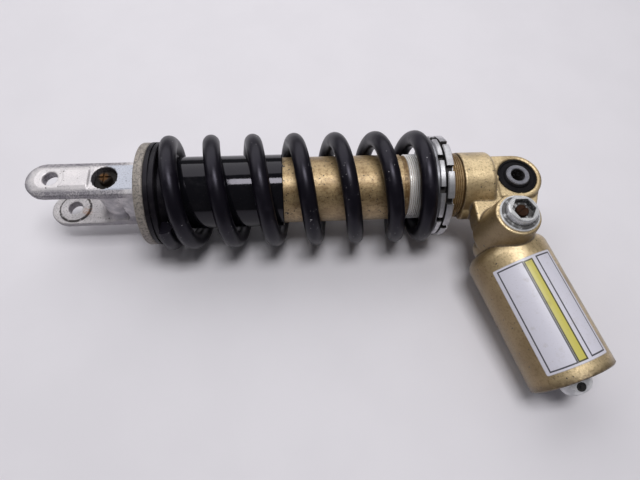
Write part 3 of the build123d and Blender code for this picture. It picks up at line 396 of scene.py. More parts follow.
# ---------------------------------------------------------------- finishes
@dataclass(frozen=True)
class CastingPaint:
    """Champagne metallic paint over a sand-cast head, with grime and painted shade in its corners, painted
    shade on faces turned away from straight up, and chipped on its edges.
    """

    name: str = "champagne_casting_paint"
    light: Colour = tone(228, 204, 160)
    # deeper tone, also laid as painted shade on faces turned away from straight up
    deep: Colour = tone(106, 82, 40)
    # grime colour, also laid as painted shade in the corners
    grime: Colour = tone(54, 36, 18)
    chip: Colour = tone(44, 40, 38)
    sand: float = 1.7
    sand_depth: float = 0.26
    roughness: float = 0.43
    metal: float = 0.6
    # Millimetres: the sooty ring by the adjuster nut, and the reservoir's low edge where dirt stays.
    soot_ring: Span = (-46.2, -44.2)
    soot_radius: Span = (24.9, 25.6)
    low_edge: Span = (134.5, 139.6)

    def mix(self) -> bpy.types.Material:
        """Mixes the finish.

        Returns:
            The finished material.
        """
        make = Recipe(self.name)
        sand = make.noise(self.sand, detail=3, rough=0.7)
        grain = make.noise(0.55, detail=2, rough=0.7, shift=5)
        patches = make.noise(16, detail=3, shift=2)
        corner = make.measured("corner")
        colour = make.lay(patches.over(0.38, 0.66) * 0.4, self.light, self.deep)
        # painted shade: faces turned away from straight up are darkened towards the deep tone
        colour = make.lay((1 - make.measured("up").over(0.3, 1.0)) * 0.8, colour, self.deep)
        colour = make.lay(sand.over(0.48, 0.66) * 0.42, colour, self.deep)
        colour = make.lay(grain.over(0.56, 0.68) * 0.14, colour, self.grime)
        # grime and painted shade: concave corners are darkened with the grime colour
        corner_grime_and_shade = corner.over(0.06, 0.55) * make.noise(3.5, detail=3, shift=9).over(0.2, 0.55)
        colour = make.lay(corner_grime_and_shade * 0.8, colour, self.grime)
        radius, along = make.around(Lathe.SHOCK)
        soot = along.between(*self.soot_ring, soft=1.4) * (1 - radius.over(*self.soot_radius)) * 0.55
        colour = make.lay(soot * make.noise(2.2, detail=2, shift=4).over(0.3, 0.6), colour, self.grime)
        worn = (0 - corner).over(0.3, 0.75) * make.noise(2.6, detail=3, shift=13).over(0.55, 0.66)
        _, down = make.around(Lathe.RESERVOIR)
        low_rim = down.over(*self.low_edge) * make.noise(4.5, detail=3, shift=17).over(0.2, 0.5)
        colour = make.lay(low_rim * 0.6, colour, self.grime)
        chipped = worn * make.noise(1.2, detail=1, shift=3).over(0.5, 0.56)
        chips = make.pits(2.1, share=0.035, shift=21).most(chipped)
        colour = make.lay(chips * 0.85, colour, self.chip)
        rough = self.roughness + (grain - 0.5) * 0.25 + corner_grime_and_shade * 0.2
        normal = make.relief(sand * 0.7 + grain * 0.3 - chips * 0.4, depth=self.sand_depth)
        metal = self.metal - corner_grime_and_shade * 0.4 - chips * 0.4
        return make.done(colour, rough, metal, normal, {"Coat Weight": 0.7, "Coat Roughness": 0.4})


@dataclass(frozen=True)
class TubePaint:
    """Champagne tube, pitted by stones below and worn to bare metal on its thread."""

    name: str = "champagne_tube"
    light: Colour = tone(182, 157, 116)
    deep: Colour = tone(108, 80, 42)
    pit: Colour = tone(34, 28, 24)
    brown: Colour = tone(112, 82, 40)
    bare: Colour = tone(254, 253, 252)
    roughness: float = 0.5
    metal: float = 0.76
    # Millimetres: stations along the shock, how far up stones hit it, and the radius of the thread's crests.
    end: float = -181.6
    splashed: float = 26.0
    undercut: Span = (-88.6, -85.0)
    worn_thread: Span = (-85.0, -66.0)
    crest: float = 23.4

    def mix(self) -> bpy.types.Material:
        """Mixes the finish.

        Returns:
            The finished material.
        """
        make = Recipe(self.name)
        radius, along = make.around(Lathe.SHOCK)
        grain = make.noise(0.8, detail=3, rough=0.75)
        rubbed = make.noise(7, detail=3, rough=0.6, stretch=(0.6, 1, 1), shift=3)
        sand = make.noise(1.8, detail=3, rough=0.7, shift=22)
        colour = make.lay(rubbed.over(0.4, 0.66) * 0.5, self.light, self.deep)
        speckle = sand.over(0.46, 0.66) * 0.5 + grain.over(0.5, 0.66) * 0.35
        colour = make.lay(speckle, colour, self.deep)
        low = 1 - along.over(self.end, self.end + self.splashed)
        pits = (make.noise(1.5, detail=1, rough=0.4, shift=8) + low * 0.05).over(0.70, 0.73)
        specks = (make.noise(0.8, detail=1, rough=0.4, shift=15) + low * 0.04).over(0.71, 0.74)
        marks = pits.most(specks * 0.9)
        colour = make.lay(marks, colour, self.pit)
        dirty = along.between(*self.undercut, soft=0.6) * make.noise(2.6, detail=3, shift=6).over(0.25, 0.55)
        colour = make.lay(dirty * 0.85, colour, self.brown)
        on_crest = radius.over(self.crest - 0.2, self.crest)
        worn = along.between(*self.worn_thread, soft=0.5)
        bare = worn * (on_crest * 0.5 + 0.5)
        colour = make.lay(bare, colour, self.bare)
        root = along.over(self.worn_thread[0], self.worn_thread[0] + 0.4) * (1 - on_crest)
        colour = make.lay(root * (0.85 - worn * 0.5), colour, self.brown)
        rough = self.roughness + (grain - 0.5) * 0.4 + marks * 0.25 - bare * 0.16 + dirty * 0.2
        normal = make.relief(sand * 0.6 + grain * 0.4 - marks, depth=0.14)
        metal = self.metal - marks * 0.4 - bare * 0.34
        return make.done(colour, rough, metal, normal, {"Coat Weight": 0.7, "Coat Roughness": 0.4})


@dataclass(frozen=True)
class FootCasting:
    """Bare sand-cast foot: polished crown, mottled flanks, one milled flat and a speckled flange, with
    painted shade on its flanks and steep faces, grime and painted shade in its corners, and painted light on
    its lower ear.
    """

    name: str = "bare_foot_casting"
    # pale tone, also laid as painted light on the lower ear
    bright: Colour = tone(220, 215, 217)
    dull: Colour = tone(178, 175, 180)
    # painted shade: darker tone laid on the flanks, chamfer slopes and steep faces
    flank_shade: Colour = tone(112, 108, 116)
    speck: Colour = tone(84, 80, 82)
    milled: Colour = tone(164, 168, 180)
    flange: Colour = tone(156, 148, 140)
    # grime colour, also laid as painted shade in the corners and round the land
    grime: Colour = tone(48, 42, 40)
    rust: Colour = tone(176, 122, 78)
    roughness: float = 0.44
    metal: float = 0.42
    # Places on the foot, in millimetres: x along the shock, y across it and z along its bolt.
    hole: Span = (-331.8, 0.0)
    land: float = 11.2
    nick_ring: Span = (6.0, 10.5)
    crown: Span = (22.6, 23.9)
    shoulder: Span = (7.5, 11.0)
    shoulder_floor: Span = (16.8, 17.4)
    flank_height: Span = (17.2, 22.6)
    flank_end: Span = (-286.0, -276.0)
    web_floor: Span = (-12.0, -6.0)
    low_ear_top: Span = (-14.0, -12.0)
    low_ear_root: Span = (-316.0, -302.0)
    flat_from: float = -296.0
    flat_height: float = 23.3
    flat_side: Span = (12.6, 13.2)
    flange_back: float = -273.0
    rust_spot: Span = (-322.5, -3.0)
    rust_reach: Span = (1.7, 4.7)

    def away(self, x: Amount, y: Amount, middle: Span) -> Amount:
        """Distance from an upright line, in millimetres."""
        return ((x - middle[0]) ** 2.0 + (y - middle[1]) ** 2.0) ** 0.5

    def mix(self) -> bpy.types.Material:
        """Mixes the finish.

        Returns:
            The finished material.
        """
        make = Recipe(self.name)
        x, y, z = make.millimetres()
        corner = make.measured("corner")
        sand = make.noise(1.1, detail=3, rough=0.6)
        grain = make.noise(0.5, detail=1, shift=4)
        clouds = make.noise(9, detail=3, shift=7)
        crown = z.over(*self.crown)
        below = 1 - z.over(*self.low_ear_top)
        low_ear = below * (1 - x.over(*self.low_ear_root))
        on_flange = x.over(self.flange_back - 2.5, self.flange_back + 0.5)
        from_hole = self.away(x, y, self.hole)
        colour = make.lay(clouds.over(0.36, 0.64) * (1 - crown * 0.75), self.bright, self.dull)
        colour = make.lay(sand.over(0.54, 0.7) * (0.75 - crown * 0.45), colour, self.dull)
        colour = make.lay(grain.over(0.6, 0.7) * 0.4, colour, self.speck)
        # painted light: the lower ear's top is made paler, as if more light fell on it
        colour = make.lay(low_ear * 0.6, colour, self.bright)
        colour = make.lay(low_ear * (sand.over(0.5, 0.64) * 0.35), colour, self.speck)
        # painted shade: the upper ear's flanks and chamfer slopes, and steep faces below the web floor, are
        # darkened with a mottled darker tone
        slope = abs(y).over(*self.shoulder) * z.over(*self.shoulder_floor)
        side = slope.most(z.between(*self.flank_height, soft=1.0)) * (1 - x.over(*self.flank_end))
        side = side * (0.5 + sand.over(0.42, 0.58) * 0.45)
        steep = 1 - make.measured("up").over(0.2, 0.85)
        side = side.most(steep * (1 - z.over(*self.web_floor)) * 0.6)
        colour = make.lay(side, colour, self.flank_shade)
        stone = make.noise(1.5, detail=4, rough=0.8, shift=12)
        beige = make.lay(stone.over(0.47, 0.56) * 0.7, self.flange, self.speck)
        colour = make.lay(on_flange, colour, beige)
        milled = z.between(self.flat_height - 0.2, self.flat_height + 0.2, soft=0.2)
        milled = milled * x.between(self.flat_from, self.flange_back, soft=0.5)
        milled = milled * (1 - abs(y).over(*self.flat_side))
        colour = make.lay(milled * 0.92, colour, self.milled)
        # painted shade: a broken dark ring round the edge of the lower ear's land
        land_ring_shade = from_hole.between(self.land - 0.8, self.land + 0.8, soft=0.4) * below
        land_ring_shade = land_ring_shade * make.noise(3.2, detail=2, shift=6).over(0.34, 0.46)
        # grime and painted shade: concave corners are darkened, together with the land ring and scattered
        # dark pits
        dark = (corner.over(0.2, 0.9) * clouds.over(0.3, 0.6)).most(land_ring_shade)
        dark = dark.most(make.pits(1.7, share=0.02, shift=17))
        nicks = make.pits(2.4, share=0.12, shift=31) * from_hole.between(*self.nick_ring, soft=1) * crown
        colour = make.lay(dark.most(nicks) * 0.85, colour, self.grime)
        tint = (1 - self.away(x, y, self.rust_spot).over(*self.rust_reach)) * below
        colour = make.lay(tint * make.noise(1.6, detail=2, shift=2).over(0.4, 0.6) * 0.6, colour, self.rust)
        smooth = milled.most(crown * 0.5)
        rough = self.roughness + (sand - 0.5) * 0.35 - milled * 0.14 + dark * 0.3 + on_flange * 0.12
        normal = make.relief((sand * 0.7 + grain * 0.3) * (1 - smooth * 0.85) - nicks * 0.5, depth=0.12)
        metal = self.metal - low_ear * 0.25 + milled * 0.15 - dark * 0.2 - on_flange * 0.2
        return make.done(colour, rough, metal, normal)


@dataclass(frozen=True)
class TurnedMetal:
    """Machined metal: fine rings from the lathe, scuffs, dirt, and painted shade with dirt in its sockets,
    slots and grooves.

    Rings lie across faces and across sides alike, because their distance counts both out from the axis and
    along it, which ring_slant weighs. The places that are darkened are in millimetres, out from the axis
    and along it.
    """

    name: str
    lathe: Lathe
    base: Colour
    second: Colour
    # colour of dirt, also laid as painted shade in sockets, slots and grooves
    dirt: Colour = tone(34, 29, 27)
    roughness: float = 0.3
    metal: float = 1.0
    ring_pitch: float = 0.35
    ring_depth: float = 0.012
    ring_slant: float = 0.97
    scuffs: float = 0.5
    dirty: float = 0.25
    socket: Span | None = None
    socket_dirt_and_shade: float = 0.9
    # slots darkened as painted shade: their reach, start and end
    root: Triple | None = None
    core: float | None = None
    # groove darkened as dirt and painted shade
    waist: Span | None = None

    def mix(self) -> bpy.types.Material:
        """Mixes the finish.

        Returns:
            The finished material.
        """
        make = Recipe(self.name)
        radius, along = make.around(self.lathe)
        rings = make.grooves(radius + along * self.ring_slant, pitch=self.ring_pitch)
        clouds = make.noise(6, detail=3, shift=3)
        scratches = make.noise(1.4, detail=3, rough=0.7, stretch=(1, 2.6, 0.7), shift=11)
        scuffs = scratches.over(0.56, 0.7) * self.scuffs
        colour = make.lay(clouds.over(0.35, 0.65) * 0.5 + rings * 0.25, self.base, self.second)
        colour = make.lay(scuffs * 0.6, colour, self.second)
        dirt = make.noise(2.6, detail=4, rough=0.65, shift=19).over(0.58, 0.72) * self.dirty
        # dirt and painted shade: the inside of a socket is darkened below its mouth
        if self.socket is not None:
            reach, mouth = self.socket
            inside = 1 - radius.over(reach - 0.3, reach + 0.1)
            inside = inside * (1 - along.over(mouth - 0.5, mouth + 0.1))
            dirt = dirt.most(inside * self.socket_dirt_and_shade * make.noise(1.8, detail=3, shift=23).over(0.22, 0.5))
        # painted shade: the nut's slots are darkened below their reach, between start and end
        if self.root is not None:
            reach, start, end = self.root
            slots = (1 - radius.over(reach - 0.2, reach + 0.2)) * along.between(start, end, soft=0.3)
            dirt = dirt.most(slots * 0.95)
        # darkens the piece outside the core radius, so that only its centre stays bright
        if self.core is not None:
            dirt = dirt.most(radius.over(self.core - 0.4, self.core + 0.4) * 0.85)
        # dirt and painted shade: a patchy dark ring in the waist groove
        if self.waist is not None:
            patchy = make.noise(3.4, detail=2, shift=8).over(0.2, 0.5)
            dirt = dirt.most(along.between(*self.waist, soft=0.5) * patchy * 0.9)
        # dirt, together with the painted shade of sockets, slots and grooves
        colour = make.lay(dirt, colour, self.dirt)
        rough = self.roughness + (clouds - 0.5) * 0.2 + scuffs * 0.25 + dirt * 0.4
        normal = make.relief(rings + scuffs * 0.5, depth=self.ring_depth)
        return make.done(colour, rough, self.metal - dirt * 0.6, normal)


@dataclass(frozen=True)
class SpringCoat:
    """Blue-black powder coat with a faint orange peel, dust and small chips."""

    name: str = "spring_powder_coat"
    base: Colour = tone(13, 11, 18)
    dusty: Colour = tone(50, 46, 56)
    chip: Colour = tone(176, 174, 178)
    sheen: Colour = (0.86, 0.82, 1.0, 1.0)
    roughness: float = 0.34
    specular: float = 0.3

    def mix(self) -> bpy.types.Material:
        """Mixes the finish.

        Returns:
            The finished material.
        """
        make = Recipe(self.name)
        peel = make.noise(2.2, detail=2, rough=0.4)
        dust = make.noise(11, detail=4, rough=0.65, shift=5).over(0.5, 0.75)
        rubs = make.noise(1.6, detail=3, rough=0.7, stretch=(0.35, 1.4, 1.4), shift=9).over(0.6, 0.72)
        chips = make.pits(1.3, share=0.0, shift=27) * make.noise(30, detail=1, shift=8).over(0.5, 0.58)
        colour = make.lay(dust * 0.22 + rubs * 0.12, self.base, self.dusty)
        colour = make.lay(chips, colour, self.chip)
        rough = self.roughness + dust * 0.14 + rubs * 0.12 + chips * 0.3
        normal = make.relief(peel * 0.6 - chips + rubs * 0.1, depth=0.03)
        fixed = {"Specular IOR Level": self.specular, "Specular Tint": self.sheen}
        return make.done(colour, rough, 0.0, normal, fixed)


@dataclass(frozen=True)
class BlackPlastic:
    """Black moulded plastic or rubber, from gloss to dull, with dust and rubs."""

    name: str
    base: Colour = tone(15, 13, 18)
    dusty: Colour = tone(80, 76, 76)
    sheen: Colour = (0.92, 0.88, 1.0, 1.0)
    roughness: float = 0.5
    grain: float = 0.6
    grain_depth: float = 0.03
    dust: float = 0.3
    rubs_along: Triple = (0.3, 1.6, 1.6)
    specular: float = 0.25

    def mix(self) -> bpy.types.Material:
        """Mixes the finish.

        Returns:
            The finished material.
        """
        make = Recipe(self.name)
        grain = make.noise(self.grain, detail=2, rough=0.6)
        dust = make.noise(8, detail=4, rough=0.7, shift=6).over(0.48, 0.74) * self.dust
        strokes = make.noise(1.5, detail=3, rough=0.7, stretch=self.rubs_along, shift=14)
        rubs = strokes.over(0.62, 0.71) * self.dust
        specks = make.pits(1.1, share=0.03, shift=33) * self.dust
        colour = make.lay(dust * 0.35 + rubs * 0.3, self.base, self.dusty)
        colour = make.lay(specks, colour, self.dusty)
        rough = self.roughness + dust * 0.35 + rubs * 0.4 + (grain - 0.5) * 0.1
        normal = make.relief(grain + rubs * 0.3, depth=self.grain_depth)
        fixed = {"Specular IOR Level": self.specular, "Specular Tint": self.sheen}
        return make.done(colour, rough, 0.0, normal, fixed)


@dataclass(frozen=True)
class Panel:
    """Printed rectangle of the label: its bounds across and along, in millimetres."""

    across: Span
    along: Span
    soft: float = 0.16

    def inside(self, across: Amount, along: Amount, trim: float = 0.0) -> Amount:
        """Finds the rectangle.

        Args:
            across: Distance across the label, in millimetres.
            along: Distance along the label, in millimetres.
            trim: What is taken off each side, in millimetres.

        Returns:
            1 inside and 0 outside.
        """
        wide = across.between(self.across[0] + trim, self.across[1] - trim, soft=self.soft)
        return wide * along.between(self.along[0] + trim, self.along[1] - trim, soft=self.soft)


@dataclass(frozen=True)
class LabelFilm:
    """Blank printed film: two ruled panels and a pale yellow band, without any words."""

    name: str = "label_film"
    film: Colour = tone(212, 210, 222)
    ink: Colour = tone(22, 22, 30)
    yellow: Colour = tone(196, 186, 88)
    grime: Colour = tone(150, 140, 118)
    # Millimetres: the width of a rule and of the dirty rim, the pieces across, and the blank at each end.
    rule: float = 0.95
    dirty_rim: float = 0.35
    wide_panel: Span = (2.7, 20.9)
    band: Span = (21.0, 27.6)
    band_ends: Span = (1.9, 1.6)
    narrow_panel: float = 30.2
    edge: float = 1.9
    ends: float = 1.5

    def mix(self, width: float, length: float) -> bpy.types.Material:
        """Makes the printed film.

        Args:
            width: The label's width round the reservoir, in millimetres.
            length: Its length along the reservoir, in millimetres.

        Returns:
            The finished material.
        """
        make = Recipe(self.name)
        page = make.node("ShaderNodeUVMap", {"uv_map": "print"}).outputs[0]
        parts = make.node("ShaderNodeSeparateXYZ", sockets={0: page})
        across = Amount(make, parts.outputs[0]) * width
        along = Amount(make, parts.outputs[1]) * length
        band = Panel(self.band, (self.band_ends[0], length - self.band_ends[1]))
        panels = [
            Panel(self.wide_panel, (self.ends, length - self.ends)),
            Panel((self.narrow_panel, width - self.edge), (self.ends, length - self.edge)),
            band,
        ]
        rims = [panel.inside(across, along) - panel.inside(across, along, self.rule) for panel in panels]
        worn = make.noise(1.1, detail=3, rough=0.7, shift=12).over(0.24, 0.36)
        colour = make.lay(band.inside(across, along), self.film, self.yellow)
        colour = make.lay(reduce(Amount.most, rims) * worn * 0.9, colour, self.ink)
        dirt = make.noise(5, detail=4, rough=0.65, shift=7).over(0.52, 0.78)
        rim_dirt = 1 - Panel((0.0, width), (0.0, length)).inside(across, along, self.dirty_rim)
        scrapes = make.noise(0.9, detail=2, rough=0.6, stretch=(0.4, 1, 2.5), shift=29).over(0.66, 0.7)
        colour = make.lay(dirt * 0.22 + rim_dirt * 0.5 + scrapes * 0.3, colour, self.grime)
        ripple = make.noise(9, detail=2, shift=3)
        normal = make.relief(ripple, depth=0.05, under=make.relief(make.noise(0.7, detail=2), depth=0.006))
        rough = 0.34 + dirt * 0.2 + scrapes * 0.2
        return make.done(colour, rough, 0.0, normal, {"Specular IOR Level": 0.5})


@dataclass(frozen=True)
class PaleFloor:
    """Plain pale surface under the part."""

    name: str = "pale_floor"
    base: Colour = tone(225, 222, 228)
    second: Colour = tone(223, 220, 226)

    def mix(self) -> bpy.types.Material:
        """Mixes the finish.

        Returns:
            The finished material.
        """
        make = Recipe(self.name)
        colour = make.lay(make.noise(60, detail=3).over(0.35, 0.65), self.base, self.second)
        normal = make.relief(make.noise(0.8, detail=2), depth=0.01)
        return make.done(colour, 0.6, 0.0, normal, {"Specular IOR Level": 0.25})


# ---------------------------------------------------------------- mesh handling
def only(piece: bpy.types.Object) -> None:
    """Selects just this object and makes it active.

    Args:
        piece: The object.
    """
    bpy.ops.object.select_all(action="DESELECT")
    piece.select_set(True)
    bpy.context.view_layer.objects.active = piece


@contextmanager
def editing(piece: bpy.types.Object) -> Iterator[None]:
    """Opens one mesh in edit mode with all of it selected, and closes it afterwards.

    Args:
        piece: The mesh's object.

    Yields:
        Nothing, once while the mesh is open.
    """
    only(piece)
    bpy.ops.object.mode_set(mode="EDIT")
    bpy.ops.mesh.select_all(action="SELECT")
    yield
    bpy.ops.object.mode_set(mode="OBJECT")


def soften(piece: bpy.types.Object, degrees: float = 40.0) -> None:
    """Shades edges smoothly where they bend by less than some degrees."""
    only(piece)
    bpy.ops.object.shade_smooth_by_angle(angle=math.radians(degrees))


def places(piece: bpy.types.Object) -> np.ndarray:
    """Reads the points of a mesh.

    Args:
        piece: The mesh's object.

    Returns:
        One row for each point, in metres.
    """
    flat = np.empty(len(piece.data.vertices) * 3)
    piece.data.vertices.foreach_get("co", flat)
    return flat.reshape(-1, 3)


def move_points(piece: bpy.types.Object, points: np.ndarray) -> None:
    """Puts a mesh's points at new places."""
    piece.data.vertices.foreach_set("co", points.ravel())
    piece.data.update()


def store(piece: bpy.types.Object, name: str, numbers: np.ndarray) -> None:
    """Stores one number on each point.

    Args:
        piece: The mesh's object.
        name: Name that materials read it by.
        numbers: The numbers, in the points' order.
    """
    layer = piece.data.attributes.get(name) or piece.data.attributes.new(name, "FLOAT", "POINT")
    layer.data.foreach_set("value", numbers)


def stored(piece: bpy.types.Object, name: str) -> np.ndarray:
    """Reads numbers stored on the points.

    Args:
        piece: The mesh's object.
        name: Name that they were stored under.

    Returns:
        The numbers, in the points' order.
    """
    numbers = np.empty(len(piece.data.vertices))
    piece.data.attributes[name].data.foreach_get("value", numbers)
    return numbers


def smoothstep(values: np.ndarray, low: float, high: float) -> np.ndarray:
    """Rises smoothly from 0 to 1.

    Args:
        values: Numbers to judge.
        low: Value up to which it is 0.
        high: Value from which it is 1.

    Returns:
        A share from 0 to 1 for each number.
    """
    share = np.clip((values - low) / (high - low), 0.0, 1.0)
    return share * share * (3 - 2 * share)


def dress(piece: bpy.types.Object, material: bpy.types.Material) -> None:
    """Gives a piece one material all over."""
    piece.data.materials.clear()
    piece.data.materials.append(material)


@dataclass(frozen=True)
class Rim:
    """Machined circular edge: its axis, its distance along it and its radius, in millimetres."""

    lathe: Lathe
    station: float
    radius: float

    def pull(self, points: np.ndarray, reach: float) -> np.ndarray:
        """Draws the nearest points of a mesh onto the edge.

        Args:
            points: Points in metres, one row each.
            reach: How far from the edge a point may be, in metres.

        Returns:
            The points with those near the edge moved onto it.
        """
        axis, origin = np.array(self.lathe.along), np.array(self.lathe.point)
        local = points - origin
        along = local @ axis
        away = local - along[:, None] * axis
        radius = np.linalg.norm(away, axis=1)
        gap = np.hypot(along - self.station * MM, radius - self.radius * MM)
        near = gap < reach
        outward = away[near] / radius[near][:, None]
        moved = points.copy()
        moved[near] = origin + outward * self.radius * MM + axis * self.station * MM
        return moved


@dataclass
class CastSkin:
    """Casting with soft corners: a copy of its solid, remeshed, eased and pulled back to its true faces.

    A point that easing moved by less than the first length in held goes back to the solid's face, and one
    that it moved by more than the second stays where it is.
    """

    node: str
    slot: str
    body: str
    cell: float
    easing: int
    held: Span
    rims: list[Rim] = field(default_factory=list)
    rim_reach: float = 0.6
    corner_depth: float = 0.8
    smooth_under: float = 38.0

    def copied(self, source: bpy.types.Object) -> bpy.types.Object:
        """Copies the solid's mesh and merges its doubled points.

        Args:
            source: The solid's mesh in the frame.

        Returns:
            The merged copy.
        """
        piece = bpy.data.objects.new(self.node + "_skin", source.data.copy())
        bpy.context.scene.collection.objects.link(piece)
        with editing(piece):
            bpy.ops.mesh.remove_doubles(threshold=WELD)
        return piece

    def ease(self, piece: bpy.types.Object) -> None:
        """Remeshes the copy evenly and smooths it.

        Args:
            piece: The merged copy, which is changed.
        """
        remesh = piece.modifiers.new("cells", "REMESH")
        remesh.mode = "VOXEL"
        remesh.voxel_size = self.cell * MM
        bpy.ops.object.modifier_apply(modifier=remesh.name)
        easing = piece.modifiers.new("easing", "SMOOTH")
        easing.factor = 0.5
        easing.iterations = self.easing
        bpy.ops.object.modifier_apply(modifier=easing.name)

    def build(self, source: bpy.types.Object) -> bpy.types.Object:
        """Builds the skin over its solid.

        Args:
            source: The solid's mesh in the frame.

        Returns:
            The finished skin, which replaces the solid.
        """
        piece = self.copied(source)
        solid = bmesh.new()
        solid.from_mesh(piece.data)
        tree = BVHTree.FromBMesh(solid)
        solid.free()
        self.ease(piece)
        points = places(piece)
        feet = np.empty_like(points)
        depth = np.empty(len(points))
        for index, point in enumerate(points):
            foot, normal, _, distance = tree.find_nearest(Vector(point))
            feet[index] = foot
            depth[index] = math.copysign(distance, (Vector(point) - foot).dot(normal))
        kept = smoothstep(np.abs(depth), self.held[0] * MM, self.held[1] * MM)
        points = feet + (points - feet) * kept[:, None]
        for rim in self.rims:
            points = rim.pull(points, self.cell * self.rim_reach * MM)
        move_points(piece, points)
        store(piece, "corner", np.clip(depth / (self.corner_depth * MM), -1.0, 1.0))
        normals = np.empty(points.size)
        piece.data.vertices.foreach_get("normal", normals)
        # how far each point faces up; the finishes darken faces turned from up as painted shade
        store(piece, "up", normals[2::3])
        soften(piece, self.smooth_under)
        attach(piece, self.body)
        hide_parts(self.node)
        return piece


# ---------------------------------------------------------------- spring
@dataclass
class Spring:
    """Coil spring in two closed lengths that part inside a turn, so that each follows its own seat.

    Each knot is an angle in degrees and the wire's station there: the start on the lower seat, where the
    first open turn lifts off, where the last one settles, and the end on the washer.
    """

    wire: float = 6.0
    radius: float = 35.5
    seat: float = -259.0
    washer: float = -68.9
    knots: tuple[Span, ...] = ((-198, -257), (38, -254.8), (2198, -76.4), (2471, -70.9))
    parting: float = 1838.0
    step: float = 5.0
    sides: int = 32

    def station(self, angle: np.ndarray) -> np.ndarray:
        """Distance of the wire's centre along the shock at an angle, in millimetres."""
        angles, stations = zip(*self.knots)
        return np.interp(angle, angles, stations)

    def wound(self, name: str, first: float, last: float) -> bpy.types.Object:
        """Winds a flat sheet of cells into one length of wire.

        Args:
            name: Name of the piece.
            first: Angle where it starts, in degrees.
            last: Angle where it ends, in degrees.

        Returns:
            The closed length of wire.
        """
        count = round((last - first) / self.step)
        bpy.ops.object.select_all(action="DESELECT")
        bpy.ops.mesh.primitive_grid_add(x_subdivisions=count, y_subdivisions=self.sides, size=1)
        piece = bpy.context.object
        piece.name = name
        sheet = places(piece) + 0.5
        angle = first + sheet[:, 0] * (last - first)
        turn = np.radians(angle)
        round_wire = sheet[:, 1] * 2 * math.pi
        centre = self.station(angle)
        slope = (self.station(angle + 1) - self.station(angle - 1)) / np.radians(2)
        outward = np.stack([np.zeros_like(turn), np.cos(turn), np.sin(turn)], axis=1)
        forward = np.stack([slope, -self.radius * np.sin(turn), self.radius * np.cos(turn)], axis=1)
        forward /= np.linalg.norm(forward, axis=1)[:, None]
        side = np.cross(forward, outward)
        points = outward * self.radius
        points[:, 0] += centre
        points += self.wire * (np.cos(round_wire)[:, None] * outward + np.sin(round_wire)[:, None] * side)
        points[:, 0] = np.clip(points[:, 0], self.seat, self.washer)
        move_points(piece, points * MM)
        store(piece, "station", centre)
        with editing(piece):
            bpy.ops.mesh.remove_doubles(threshold=WELD)
            bpy.ops.mesh.fill_holes(sides=0)
            bpy.ops.mesh.select_all(action="SELECT")
            bpy.ops.mesh.normals_make_consistent(inside=False)
        soften(piece)
        return piece

    def build(self, material: bpy.types.Material) -> list[bpy.types.Object]:
        """Builds both lengths and lets each bend between the damper and its seat.

        Args:
            material: The spring's finish.

        Returns:
            The lower and the upper length.
        """
        parted = float(self.station(np.array([self.parting]))[0])
        lift_off, settle = self.knots[1][1], self.knots[2][1]
        lengths = (
            ("spring_lower", self.knots[0][0], self.parting, "lower_seat", lift_off),
            ("spring_upper", self.parting, self.knots[-1][0], "upper_seat", settle),
        )
        pieces = []
        for name, first, last, follows, held in lengths:
            piece = self.wound(name, first, last)
            share = np.clip((stored(piece, "station") - parted) / (held - parted), 0.0, 1.0)
            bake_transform(piece, "damper", follows, start=(parted * MM, 0, 0), end=(held * MM, 0, 0))
            store(piece, "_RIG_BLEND", share)
            dress(piece, material)
            pieces.append(piece)
        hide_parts("coil_spring")
        return pieces


